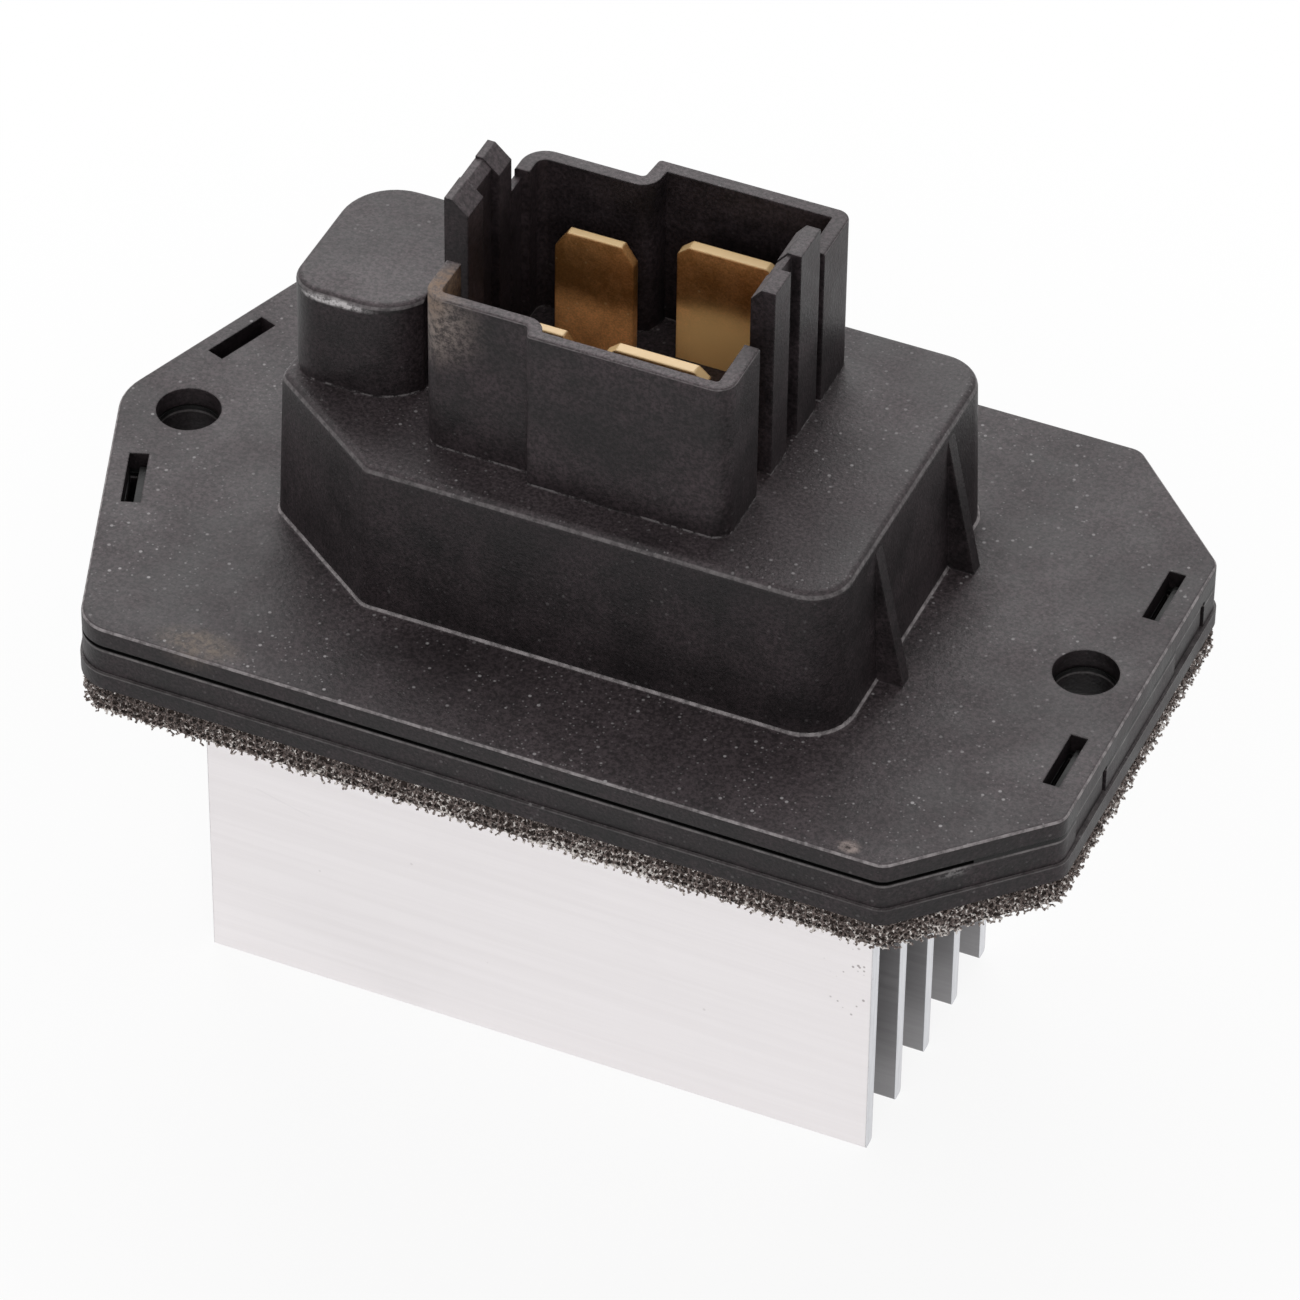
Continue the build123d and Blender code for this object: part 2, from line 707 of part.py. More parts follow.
with BuildPart() as heatsink:
    # One extruded section: base, two flanges and the tapered fins
    with BuildSketch(Plane.YZ.offset(heatsink_left_x)) as section:
        with BuildLine():
            Polyline(
                (-fins_half_width, -base_under),
                (fins_half_width, -base_under),
                (fins_half_width, ledge_height),
                (flange_half_width, ledge_height),
                (flange_half_width, frame_height),
                (-flange_half_width, frame_height),
                (-flange_half_width, ledge_height),
                (-fins_half_width, ledge_height),
                close=True,
            )
        make_face()
        for index in range(fin_count):
            y = (index - (fin_count - 1) / 2) * fin_pitch
            with BuildLine():
                Polyline(
                    (y - fin_root_thickness / 2, -base_under),
                    (y - fin_tip_thickness / 2, fin_tip_z),
                    (y + fin_tip_thickness / 2, fin_tip_z),
                    (y + fin_root_thickness / 2, -base_under),
                    close=True,
                )
            make_face()
        # In this sketch X runs across the fins and Y runs up them
        tips = section.vertices().group_by(Axis.Y)[0]
        fillet(tips, radius=fin_tip_radius)
        roots = section.vertices().filter_by_position(Axis.Y, -base_under - 0.01, -base_under + 0.01)
        inner_roots = roots.sort_by(Axis.X)[1:-1]
        fillet(inner_roots, radius=fin_root_radius)
    extrude(amount=heatsink_length)
    # Hole for the transistor's screw
    with Locations((transistor_left_x + transistor_hole_offset, 0, frame_height)):
        Cylinder(screw_radius, screw_depth, align=(Align.CENTER, Align.CENTER, Align.MAX), mode=Mode.SUBTRACT)
heatsink.part.label = "heatsink"
export_step(heatsink.part, "parts/heatsink.step")
print("heatsink", round(heatsink.part.volume), len(heatsink.solids()))

# Four blades, each a flat stamping with a tail through the board and shoulders under the roof
blades = [
    ("signal_terminal_back", signal_back_x, signal_back_y, signal_width, signal_thickness),
    ("signal_terminal_front", signal_front_x, signal_front_y, signal_width, signal_thickness),
    ("power_terminal_back", power_back_x, power_back_y, power_width, power_thickness),
    ("power_terminal_front", power_front_x, power_front_y, power_width, power_thickness),
]
for name, x, y, width, thickness in blades:
    chamfer_run = signal_chamfer if width == signal_width else power_chamfer
    chamfer_height = signal_chamfer_height if width == signal_width else power_chamfer_height
    half = width / 2
    wide = half + shoulder_width
    with BuildPart() as terminal:
        with BuildSketch(Plane.XZ.offset(-y - thickness / 2)):
            with BuildLine():
                Polyline(
                    (x - tail_width / 2, tail_bottom),
                    (x + tail_width / 2, tail_bottom),
                    (x + tail_width / 2, board_top),
                    (x + wide, board_top),
                    (x + wide, roof_underside),
                    (x + half, roof_underside),
                    (x + half, blade_top - chamfer_height),
                    (x + half - chamfer_run, blade_top),
                    (x - half + chamfer_run, blade_top),
                    (x - half, blade_top - chamfer_height),
                    (x - half, roof_underside),
                    (x - wide, roof_underside),
                    (x - wide, board_top),
                    (x - tail_width / 2, board_top),
                    close=True,
                )
            make_face()
        extrude(amount=thickness)
        # Ease the entry edges of the blade's tip
        tip_edges = terminal.faces().sort_by(Axis.Z)[-1].edges().filter_by(Axis.X)
        fillet(tip_edges, radius=blade_tip_radius)
    terminal.part.label = name
    export_step(terminal.part, "parts/" + name + ".step")

with BuildPart() as circuit_board:
    with BuildSketch(Plane.XY.offset(board_z)):
        add(chamber_outline.sketch)
        offset(amount=-chamber_wall - board_edge_gap, kind=Kind.INTERSECTION)
        with Locations(*post_places):
            Circle(pin_radius + pin_clearance, mode=Mode.SUBTRACT)
        with Locations((transistor_left_x + transistor_hole_offset, 0)):
            Circle(access_hole_radius, mode=Mode.SUBTRACT)
        for name, x, y, width, thickness in blades:
            with Locations((x, y)):
                Rectangle(tail_width + 2 * tail_clearance, thickness + 2 * tail_clearance, mode=Mode.SUBTRACT)
        with Locations((transistor_left_x + transistor_length + lead_reach - lead_thickness / 2, 0)):
            with GridLocations(1, lead_pitch, 1, 3):
                Circle(lead_hole_radius, mode=Mode.SUBTRACT)
        with Locations((capacitor_x, capacitor_y)):
            with GridLocations(1, capacitor_lead_pitch, 1, 2):
                Circle(capacitor_lead_radius + 0.1, mode=Mode.SUBTRACT)
    extrude(amount=board_thickness)
circuit_board.part.label = "circuit_board"
export_step(circuit_board.part, "parts/circuit_board.step")

pad_bottom = frame_height
case_bottom = pad_bottom + pad_thickness
case_top = case_bottom + transistor_thickness
case_right_x = transistor_left_x + transistor_length
screw_x = transistor_left_x + transistor_hole_offset

with BuildPart() as transistor_leadframe:
    # Heat tab, open on the underside of the case
    with BuildSketch(Plane.XY.offset(case_bottom)):
        with Locations((transistor_left_x + 0.6 + tab_length / 2, 0)):
            Rectangle(tab_length, tab_width)
        with Locations((screw_x, 0)):
            Circle(transistor_hole_radius, mode=Mode.SUBTRACT)
    extrude(amount=tab_thickness)
    # Middle lead rises from the tab, the outer two start inside the case
    with Locations((transistor_left_x + tab_length - 0.2, 0, case_bottom + tab_thickness)):
        Box(1.2, lead_width, lead_height - tab_thickness, align=(Align.CENTER, Align.CENTER, Align.MIN))
    for y, start_x in (
        (-lead_pitch, transistor_left_x + tab_length + 1.4),
        (0, transistor_left_x + tab_length - 0.8),
        (lead_pitch, transistor_left_x + tab_length + 1.4),
    ):
        with BuildSketch(Plane.XZ.offset(-y - lead_width / 2)):
            with BuildLine():
                Polyline(
                    (start_x, case_bottom + lead_height),
                    (case_right_x + lead_reach, case_bottom + lead_height),
                    (case_right_x + lead_reach, board_top + lead_above_board),
                    (case_right_x + lead_reach - lead_thickness, board_top + lead_above_board),
                    (case_right_x + lead_reach - lead_thickness, case_bottom + lead_height + lead_thickness),
                    (start_x, case_bottom + lead_height + lead_thickness),
                    close=True,
                )
            make_face()
        extrude(amount=lead_width)
transistor_leadframe.part.label = "transistor_leadframe"
export_step(transistor_leadframe.part, "parts/transistor_leadframe.step")

with BuildPart() as transistor_body:
    with BuildSketch(Plane.XY.offset(case_bottom)):
        with Locations((transistor_left_x + transistor_length / 2, 0)):
            Rectangle(transistor_length, transistor_width)
        with Locations((screw_x, 0)):
            Circle(transistor_hole_radius, mode=Mode.SUBTRACT)
    extrude(amount=transistor_thickness)
    top_edges = transistor_body.faces().sort_by(Axis.Z)[-1].edges().filter_by(GeomType.LINE)
    chamfer(top_edges, length=0.4)
    add(transistor_leadframe.part, mode=Mode.SUBTRACT)
transistor_body.part.label = "transistor_body"
export_step(transistor_body.part, "parts/transistor_body.step")

with BuildPart() as transistor_pad:
    with BuildSketch(Plane.XY.offset(pad_bottom)):
        with Locations((transistor_left_x + transistor_length / 2, 0)):
            Rectangle(transistor_length + 2 * pad_margin, transistor_width + 2 * pad_margin)
        with Locations((screw_x, 0)):
            Circle(transistor_hole_radius, mode=Mode.SUBTRACT)
    extrude(amount=pad_thickness)
transistor_pad.part.label = "transistor_pad"
export_step(transistor_pad.part, "parts/transistor_pad.step")

with BuildPart() as transistor_washer:
    with BuildSketch(Plane.XY.offset(case_top)):
        with Locations((screw_x, 0)):
            Circle(washer_radius)
            Circle(screw_radius, mode=Mode.SUBTRACT)
    extrude(amount=washer_thickness)
transistor_washer.part.label = "transistor_washer"
export_step(transistor_washer.part, "parts/transistor_washer.step")

with BuildPart() as transistor_screw:
    with Locations((screw_x, 0, frame_height - screw_depth)):
        Cylinder(
            screw_radius,
            case_top + washer_thickness - frame_height + screw_depth,
            align=(Align.CENTER, Align.CENTER, Align.MIN),
        )
    with Locations((screw_x, 0, case_top + washer_thickness)):
        Cylinder(screw_head_radius, screw_head_height, align=(Align.CENTER, Align.CENTER, Align.MIN))
    head_rim = transistor_screw.faces().sort_by(Axis.Z)[-1].edges()
    fillet(head_rim, radius=0.6)
    with BuildSketch(Plane.XY.offset(case_top + washer_thickness + screw_head_height - drive_depth)):
        with Locations((screw_x, 0)):
            Rectangle(2 * drive_width, 0.6)
            Rectangle(0.6, 2 * drive_width)
    extrude(amount=drive_depth, mode=Mode.SUBTRACT)
transistor_screw.part.label = "transistor_screw"
export_step(transistor_screw.part, "parts/transistor_screw.step")

with BuildPart() as capacitor_leads:
    with Locations((capacitor_x, capacitor_y, board_z - capacitor_lead_below)):
        with GridLocations(1, capacitor_lead_pitch, 1, 2):
            Cylinder(
                capacitor_lead_radius,
                board_thickness + capacitor_lead_below + seal_height,
                align=(Align.CENTER, Align.CENTER, Align.MIN),
            )
capacitor_leads.part.label = "capacitor_leads"
export_step(capacitor_leads.part, "parts/capacitor_leads.step")

with BuildPart() as capacitor_seal:
    with Locations((capacitor_x, capacitor_y, board_top)):
        Cylinder(seal_radius, seal_height, align=(Align.CENTER, Align.CENTER, Align.MIN))
    add(capacitor_leads.part, mode=Mode.SUBTRACT)
capacitor_seal.part.label = "capacitor_seal"
export_step(capacitor_seal.part, "parts/capacitor_seal.step")

with BuildPart() as capacitor_can:
    with Locations((capacitor_x, capacitor_y, board_top + 0.2)):
        Cylinder(capacitor_radius, capacitor_height - 0.2, align=(Align.CENTER, Align.CENTER, Align.MIN))
    can_rims = capacitor_can.edges().filter_by(GeomType.CIRCLE)
    fillet(can_rims.sort_by(Axis.Z)[-1], radius=capacitor_edge_radius)
    with Locations((capacitor_x, capacitor_y, board_top)):
        Cylinder(seal_radius, seal_height, align=(Align.CENTER, Align.CENTER, Align.MIN), mode=Mode.SUBTRACT)
capacitor_can.part.label = "capacitor_can"
export_step(capacitor_can.part, "parts/capacitor_can.step")

with BuildPart() as control_chip_leads:
    for side in (-1, 1):
        with BuildSketch(Plane.XZ.offset(-chip_y)) as lead_shape:
            with BuildLine():
                Polyline(
                    (chip_x + side * (chip_width / 2 - 0.3), board_top + 0.6),
                    (chip_x + side * (chip_width / 2 + 0.5), board_top + 0.6),
                    (chip_x + side * (chip_width / 2 + 0.5), board_top),
                    (chip_x + side * (chip_width / 2 + chip_lead_reach), board_top),
                    (chip_x + side * (chip_width / 2 + chip_lead_reach), board_top + chip_lead_thickness),
                    (
                        chip_x + side * (chip_width / 2 + 0.5 + chip_lead_thickness),
                        board_top + chip_lead_thickness,
                    ),
                    (
                        chip_x + side * (chip_width / 2 + 0.5 + chip_lead_thickness),
                        board_top + 0.6 + chip_lead_thickness,
                    ),
                    (chip_x + side * (chip_width / 2 - 0.3), board_top + 0.6 + chip_lead_thickness),
                    close=True,
                )
            make_face()
        for index in range(4):
            with Locations((0, (index - 1.5) * chip_lead_pitch + chip_lead_width / 2, 0)):
                add(extrude(lead_shape.sketch, amount=chip_lead_width, mode=Mode.PRIVATE))
control_chip_leads.part.label = "control_chip_leads"
export_step(control_chip_leads.part, "parts/control_chip_leads.step")

with BuildPart() as control_chip:
    with Locations((chip_x, chip_y, board_top)):
        Box(chip_width, chip_length, chip_height, align=(Align.CENTER, Align.CENTER, Align.MIN))
    add(control_chip_leads.part, mode=Mode.SUBTRACT)
control_chip.part.label = "control_chip"
export_step(control_chip.part, "parts/control_chip.step")

with BuildPart() as chip_resistors:
    for x, y in resistor_places:
        with Locations((x, y, board_top)):
            Box(resistor_length, resistor_width, resistor_height, align=(Align.CENTER, Align.CENTER, Align.MIN))
chip_resistors.part.label = "chip_resistors"
export_step(chip_resistors.part, "parts/chip_resistors.step")

with BuildPart() as sense_resistor:
    with Locations((sense_x, sense_y, board_top)):
        Box(sense_length, sense_width, sense_height, align=(Align.CENTER, Align.CENTER, Align.MIN))
sense_resistor.part.label = "sense_resistor"
export_step(sense_resistor.part, "parts/sense_resistor.step")

with BuildPart() as protection_diode:
    with Locations((diode_x, diode_y, board_top)):
        Box(diode_length, diode_width, diode_height, align=(Align.CENTER, Align.CENTER, Align.MIN))
    lid = protection_diode.faces().sort_by(Axis.Z)[-1].edges()
    chamfer(lid, length=0.3)
protection_diode.part.label = "protection_diode"
export_step(protection_diode.part, "parts/protection_diode.step")

with BuildPart() as solder_joints:
    # Round joints on top of the board at the transistor's leads
    with Locations((case_right_x + lead_reach - lead_thickness / 2, 0, board_top)):
        with GridLocations(1, lead_pitch, 1, 3):
            Cone(joint_radius, joint_top_radius, joint_height, align=(Align.CENTER, Align.CENTER, Align.MIN))
    # Square joints under the board at the blades' tails, round ones at the capacitor's leads
    for name, x, y, width, thickness in blades:
        with BuildSketch(Plane.XY.offset(board_z)):
            with Locations((x, y)):
                Rectangle(tail_width + 1.6, thickness + 1.6)
        with BuildSketch(Plane.XY.offset(board_z - joint_height)):
            with Locations((x, y)):
                Rectangle(tail_width + 0.4, thickness + 0.4)
        loft()
    with Locations((capacitor_x, capacitor_y, board_z - 0.6)):
        with GridLocations(1, capacitor_lead_pitch, 1, 2):
            Cone(0.45, 1.0, 0.6, align=(Align.CENTER, Align.CENTER, Align.MIN))
    add(transistor_leadframe.part, mode=Mode.SUBTRACT)
    add(capacitor_leads.part, mode=Mode.SUBTRACT)
    for name, x, y, width, thickness in blades:
        with Locations((x, y, board_z)):
            Box(tail_width, thickness, 4.0, mode=Mode.SUBTRACT)
solder_joints.part.label = "solder_joints"
export_step(solder_joints.part, "parts/solder_joints.step")
print("solder joints", len(solder_joints.solids()))
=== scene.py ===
import math

import bpy
import numpy as np
from mathutils import Matrix, Vector, geometry


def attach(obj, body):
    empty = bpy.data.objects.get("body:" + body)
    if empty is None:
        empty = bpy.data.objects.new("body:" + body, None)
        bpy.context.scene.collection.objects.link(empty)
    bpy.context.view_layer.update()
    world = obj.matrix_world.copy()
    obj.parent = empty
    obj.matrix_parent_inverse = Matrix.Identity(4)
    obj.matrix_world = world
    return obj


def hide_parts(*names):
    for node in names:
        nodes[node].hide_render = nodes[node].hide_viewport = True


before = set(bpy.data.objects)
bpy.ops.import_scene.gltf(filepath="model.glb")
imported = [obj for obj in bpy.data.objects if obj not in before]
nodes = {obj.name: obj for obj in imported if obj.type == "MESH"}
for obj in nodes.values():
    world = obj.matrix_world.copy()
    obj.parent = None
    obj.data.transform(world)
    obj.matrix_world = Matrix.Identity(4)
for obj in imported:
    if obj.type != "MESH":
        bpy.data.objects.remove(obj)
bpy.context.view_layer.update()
mm = 0.001

# Small helpers for building node trees

noiseRange = (0.3, 0.7)  # nearly all of a noise texture lies between these values
socketNames = {
    "colour": "Base Color",
    "roughness": "Roughness",
    "normal": "Normal",
    "metallic": "Metallic",
    "specular": "Specular IOR Level",
    "sheen": "Sheen Weight",
    "sheenRough": "Sheen Roughness",
}


def freshMaterial(name):
    material = bpy.data.materials.new(name)
    material.use_nodes = True
    tree = material.node_tree
    return material, tree, tree.nodes["Principled BSDF"]


def isSocket(value):
    return isinstance(value, bpy.types.NodeSocket)


def feed(tree, socket, value):
    if isSocket(value):
        tree.links.new(value, socket)
    else:
        socket.default_value = value


def addNode(tree, kind, inputs=None, **settings):
    made = tree.nodes.new("ShaderNode" + kind)
    for key, value in settings.items():
        setattr(made, key, value)
    for key, value in (inputs or {}).items():
        feed(tree, made.inputs[key], value)
    return made


def connect(tree, shader, **values):
    for key, value in values.items():
        feed(tree, shader.inputs[socketNames[key]], value)


def calc(tree, operation, first, second=0.0, third=None, clamp=False):
    inputs = {0: first, 1: second}
    if third is not None:
        inputs[2] = third
    return addNode(tree, "Math", inputs, operation=operation, use_clamp=clamp).outputs[0]


def times(tree, first, *others):
    for other in others:
        first = calc(tree, "MULTIPLY", first, other)
    return first


def vectorCalc(tree, operation, first, second=None):
    inputs = {0: first}
    if second is not None:
        inputs["Scale" if operation == "SCALE" else 1] = second
    made = addNode(tree, "VectorMath", inputs, operation=operation)
    isNumber = operation in ("LENGTH", "DISTANCE", "DOT_PRODUCT")
    return made.outputs["Value" if isNumber else "Vector"]


def spread(tree, value, low, high, outLow=0.0, outHigh=1.0):
    inputs = {
        "Value": value, "From Min": low, "From Max": high, "To Min": outLow, "To Max": outHigh,
    }
    return addNode(tree, "MapRange", inputs, interpolation_type="SMOOTHSTEP").outputs["Result"]


def blend(tree, factor, first, second):
    # colours are sockets, or three numbers that get their alpha here
    first, second = [c if isSocket(c) else (*c, 1.0) for c in (first, second)]
    inputs = {0: factor, 6: first, 7: second}
    return addNode(tree, "Mix", inputs, data_type="RGBA").outputs[2]


def objectCoords(tree, stretch=None):
    coords = addNode(tree, "TexCoord").outputs["Object"]
    if stretch is None:
        return coords
    return addNode(tree, "Mapping", {"Vector": coords, "Scale": stretch}).outputs[0]


def axisPart(tree, vector, axis):
    return addNode(tree, "SeparateXYZ", {0: vector}).outputs[axis]


def flatNormal(tree):
    return addNode(tree, "NewGeometry").outputs["Normal"]


def roundedNormal(tree, radius, samples):
    return addNode(tree, "Bevel", {"Radius": radius}, samples=samples).outputs[0]


def facing(tree, axis, low, high):
    # one on flat faces that look along the axis, either way
    part = axisPart(tree, flatNormal(tree), axis)
    return spread(tree, calc(tree, "ABSOLUTE", part), low, high)


def noise(tree, coords, grain, detail=3.0, rough=0.5, warp=0.0):
    # grain is the size of one blotch in metres
    inputs = {
        "Vector": coords, "Scale": 1.0 / grain, "Detail": detail, "Roughness": rough,
        "Distortion": warp,
    }
    return addNode(tree, "TexNoise", inputs).outputs[0]


def specks(tree, coords, apart, size, share):
    # round dots, one in each cell of about that spacing, of which only a share shows
    inputs = {"Vector": coords, "Scale": 1.0 / apart, "Randomness": 1.0}
    cells = addNode(tree, "TexVoronoi", inputs)
    edges = (0.5 * size / apart, size / apart)
    near = spread(tree, cells.outputs["Distance"], *edges, 1.0, 0.0)
    pick = addNode(tree, "SeparateColor", {"Color": cells.outputs["Color"]}).outputs[0]
    return times(tree, near, calc(tree, "LESS_THAN", pick, share))


def spot(tree, coords, centre, reach, core):
    # one inside the core, fading to nothing at the reach along each axis
    away = vectorCalc(tree, "SUBTRACT", coords, centre)
    shares = vectorCalc(tree, "DIVIDE", away, reach)
    return spread(tree, vectorCalc(tree, "LENGTH", shares), core, 1.0, 1.0, 0.0)


def scratch(tree, coords, start, end, width):
    # one along a straight line between two points
    along = [b - a for a, b in zip(start, end)]
    away = vectorCalc(tree, "SUBTRACT", coords, start)
    reach = vectorCalc(tree, "DOT_PRODUCT", away, along)
    share = calc(tree, "DIVIDE", reach, sum(a * a for a in along), clamp=True)
    off = vectorCalc(tree, "DISTANCE", away, vectorCalc(tree, "SCALE", along, share))
    return spread(tree, off, 0.3 * width, width, 1.0, 0.0)


def band(tree, value, low, high, soft):
    rise = spread(tree, value, low - soft, low)
    fall = spread(tree, value, high, high + soft, 1.0, 0.0)
    return times(tree, rise, fall)


def bump(tree, height, depth, strength, over=None):
    inputs = {"Height": height, "Distance": depth, "Strength": strength}
    if over is not None:
        inputs["Normal"] = over
    return addNode(tree, "Bump", inputs).outputs[0]


def edgeMask(tree, rounded, low, high):
    # one where the rounded surface turns away from the flat one, at edges
    same = vectorCalc(tree, "DOT_PRODUCT", rounded, flatNormal(tree))
    return spread(tree, calc(tree, "SUBTRACT", 1.0, same), low, high)


def mixShaders(tree, share, first, second):
    return addNode(tree, "MixShader", {0: share, 1: first, 2: second}).outputs[0]


def seenDirectly(tree):
    # one for rays from the camera, reflections and glass, nothing for soft light
    rays = addNode(tree, "LightPath").outputs
    seen = calc(tree, "ADD", rays["Is Camera Ray"], rays["Is Glossy Ray"], clamp=True)
    return calc(tree, "ADD", seen, rays["Is Transmission Ray"], clamp=True)


def millimetres(values):
    return [v * mm for v in values]


print("stage 1: camera, floor and lights")

cameraSetup = {
    "place": (0.178690, -0.412187, 0.387706),
    "right": (0.91522208, 0.40281067, 0.01058863),
    "up": (-0.27257942, 0.59954426, 0.75249395),
    "back": (0.29676423, -0.69158531, 0.65851404),
    "lens": 219.42,
    "frameWidth": 36.0,  # in millimetres, like the lens
    "clipStart": 0.01,
    "clipEnd": 10.0,
}


def placeCamera(setup):
    data = bpy.data.cameras.new("productCamera")
    data.lens = setup["lens"]
    data.sensor_width = setup["frameWidth"]
    data.sensor_fit = "HORIZONTAL"
    data.clip_start = setup["clipStart"]
    data.clip_end = setup["clipEnd"]
    camera = bpy.data.objects.new("productCamera", data)
    turn = Matrix((setup["right"], setup["up"], setup["back"])).transposed()
    camera.matrix_world = Matrix.Translation(setup["place"]) @ turn.to_4x4()
    bpy.context.scene.collection.objects.link(camera)
    bpy.context.scene.camera = camera


placeCamera(cameraSetup)

studio = {
    "floorHeight": -37.0 * mm,  # the fins' tips stand on it
    "floorSize": 3.0,
    "floorColour": (0.92, 0.92, 0.92),
    "floorBlotch": 0.4,
    "floorShade": 0.99,  # how much darker the blotches are
    "floorRoughness": 0.9,
    "floorSpecular": 0.1,
    "floorWhite": 0.9,  # share of plain white in what the camera sees of the floor
    "shadowReach": (0.045, 0.13),  # the shadow shows up to here, and has faded there
    "worldDiffuse": 0.36,  # what the surroundings add to matt surfaces
    "lamps": {
        # name: place, point it faces, side length, light given off per area
        "overheadBack": ((-0.16, 0.36, 0.40), (0.0, 0.0, 0.01), 0.52, 2.4),
        "frontFill": ((0.25, -0.62, 0.42), (0.0, 0.0, 0.0), 0.5, 2.3),
        "leftFill": ((-0.6, -0.15, 0.35), (0.0, 0.0, 0.0), 0.4, 0.5),
    },
}


def addLamp(name, place, faces, side, level):
    data = bpy.data.lights.new(name, "AREA")
    data.shape = "SQUARE"
    data.size = side
    data.energy = level * math.pi * side * side
    lamp = bpy.data.objects.new(name, data)
    lamp.location = place
    direction = Vector(faces) - Vector(place)
    lamp.rotation_euler = direction.to_track_quat("-Z", "Y").to_euler()
    bpy.context.scene.collection.objects.link(lamp)


def makeFloorPaint(setup):
    material, tree, shader = freshMaterial("studioFloorPaint")
    tone = noise(tree, objectCoords(tree), setup["floorBlotch"], detail=1.0)
    shade = [setup["floorShade"] * c for c in setup["floorColour"]]
    colour = blend(tree, spread(tree, tone, *noiseRange), setup["floorColour"], shade)
    connect(tree, shader, colour=colour, roughness=setup["floorRoughness"],
            specular=setup["floorSpecular"])
    # the floor looks white to the camera and in reflections, and keeps its shadow near the object
    far = vectorCalc(tree, "LENGTH", objectCoords(tree))
    share = spread(tree, far, *setup["shadowReach"], setup["floorWhite"], 1.0)
    white = addNode(tree, "Emission", {"Strength": 1.0}).outputs[0]
    pale = mixShaders(tree, times(tree, seenDirectly(tree), share), shader.outputs[0], white)
    # seen from under it, the floor is clear
    below = addNode(tree, "NewGeometry").outputs["Backfacing"]
    clear = addNode(tree, "BsdfTransparent").outputs[0]
    both = mixShaders(tree, below, pale, clear)
    tree.links.new(both, tree.nodes["Material Output"].inputs["Surface"])
    return material


def makeFloor(setup):
    half = setup["floorSize"] / 2
    mesh = bpy.data.meshes.new("studioFloor")
    corners = [(-half, -half, 0), (half, -half, 0), (half, half, 0), (-half, half, 0)]
    mesh.from_pydata(corners, [], [(0, 1, 2, 3)])
    mesh.materials.append(makeFloorPaint(setup))
    floor = bpy.data.objects.new("studioFloor", mesh)
    floor.location = (0, 0, setup["floorHeight"])
    bpy.context.scene.collection.objects.link(floor)


def makeWorld(setup):
    # white to the camera and in reflections, dimmer to matt surfaces
    world = bpy.data.worlds.new("studioWorld")
    bpy.context.scene.world = world
    world.use_nodes = True
    tree = world.node_tree
    dim = setup["worldDiffuse"]
    level = calc(tree, "MULTIPLY_ADD", seenDirectly(tree), 1.0 - dim, dim)
    back = tree.nodes["Background"]
    back.inputs["Color"].default_value = (1, 1, 1, 1)
    tree.links.new(level, back.inputs["Strength"])


makeFloor(studio)
makeWorld(studio)
for lampName, lampSetup in studio["lamps"].items():
    addLamp(lampName, *lampSetup)
bpy.context.scene.view_settings.view_transform = "Standard"

print("stage 2: moulded plastic of the housing and the frame")

plasticLook = {
    "dark": (0.0085, 0.0065, 0.0072),
    "light": (0.024, 0.0175, 0.0195),
    "blotch": 5.0 * mm,
    "blotchRange": (0.3, 0.72),
    "blotchHeight": 0.6,
    "roughness": (0.43, 0.55),
    "specular": 0.30,
    # spark-eroded mould texture
    "grain": 0.26 * mm,
    "grainDepth": 0.05 * mm,
    "grainStrength": 0.75,
    "edgeRound": 0.2 * mm,
    "edgeSamples": 3,
    # fine dust, and painted top light that makes faces that look up paler
    "looksUp": (0.35, 0.9),
    "film": (0.068, 0.054, 0.058),
    "filmShare": (0.3, 0.72),
    "filmCloud": 9.0 * mm,
    # light and dark grains, and painted light that makes the shroud paler, most of all its front
    # wall
    "pepper": 0.3 * mm,
    "pepperRange": (0.32, 0.7),
    "pepperTone": (0.5, 1.6),
    "shroudAbove": (19.0 * mm, 24.0 * mm),
    "frontWall": (-9.4 * mm, -8.6 * mm),  # the front wall stands before this
    "frontWallTone": 0.46,
    "shroudTone": 0.18,
    # painted highlights mixed with wear and dust, as lines along rounded edges that look up:
    # slope from, to and softness
    "wornEdge": (0.35, 0.32, 0.325),
    "lowEdges": (6.1 * mm, 7.5 * mm),  # the plate's edges end below this
    "lowSlopes": (0.3, 0.86, 0.1),
    "highSlopes": (0.36, 0.60, 0.14),
    "highShare": 0.42,
    "chip": 0.7 * mm,
    "chipRange": (0.32, 0.66),
    "chipShare": (0.25, 1.0),
    # dots of dust: spacing, size and the share that shows
    "dust": (0.36, 0.34, 0.345),
    "coarseDust": (1.0 * mm, 0.17 * mm, 0.7),
    "fineDust": (0.48 * mm, 0.10 * mm, 0.8),
    "fineDustTone": 0.45,
    "dustOnTops": 0.62,
    "dustOnWalls": 0.10,
    "dustPatch": 7.0 * mm,
    "dustPatchRange": (0.36, 0.62),
    "dustPatchShare": (0.18, 1.0),
    # from where to where, and how much at each
    "cleanerAbove": (21.0 * mm, 25.0 * mm, 1.0, 0.4),
    "dustierFront": (-17.0 * mm, -12.0 * mm, 1.7, 1.0),
}


def grainsAndPaintedLight(tree, coords, look):
    grains = noise(tree, coords, look["pepper"], detail=2.0, rough=0.7)
    pepper = spread(tree, grains, *look["pepperRange"], *look["pepperTone"])
    # painted light: the shroud above these heights is made paler, its front wall most of all
    raised = spread(tree, axisPart(tree, coords, 2), *look["shroudAbove"])
    tones = (look["frontWallTone"], look["shroudTone"])
    paler = spread(tree, axisPart(tree, coords, 1), *look["frontWall"], *tones)
    return times(tree, pepper, calc(tree, "MULTIPLY_ADD", raised, paler, 1.0))
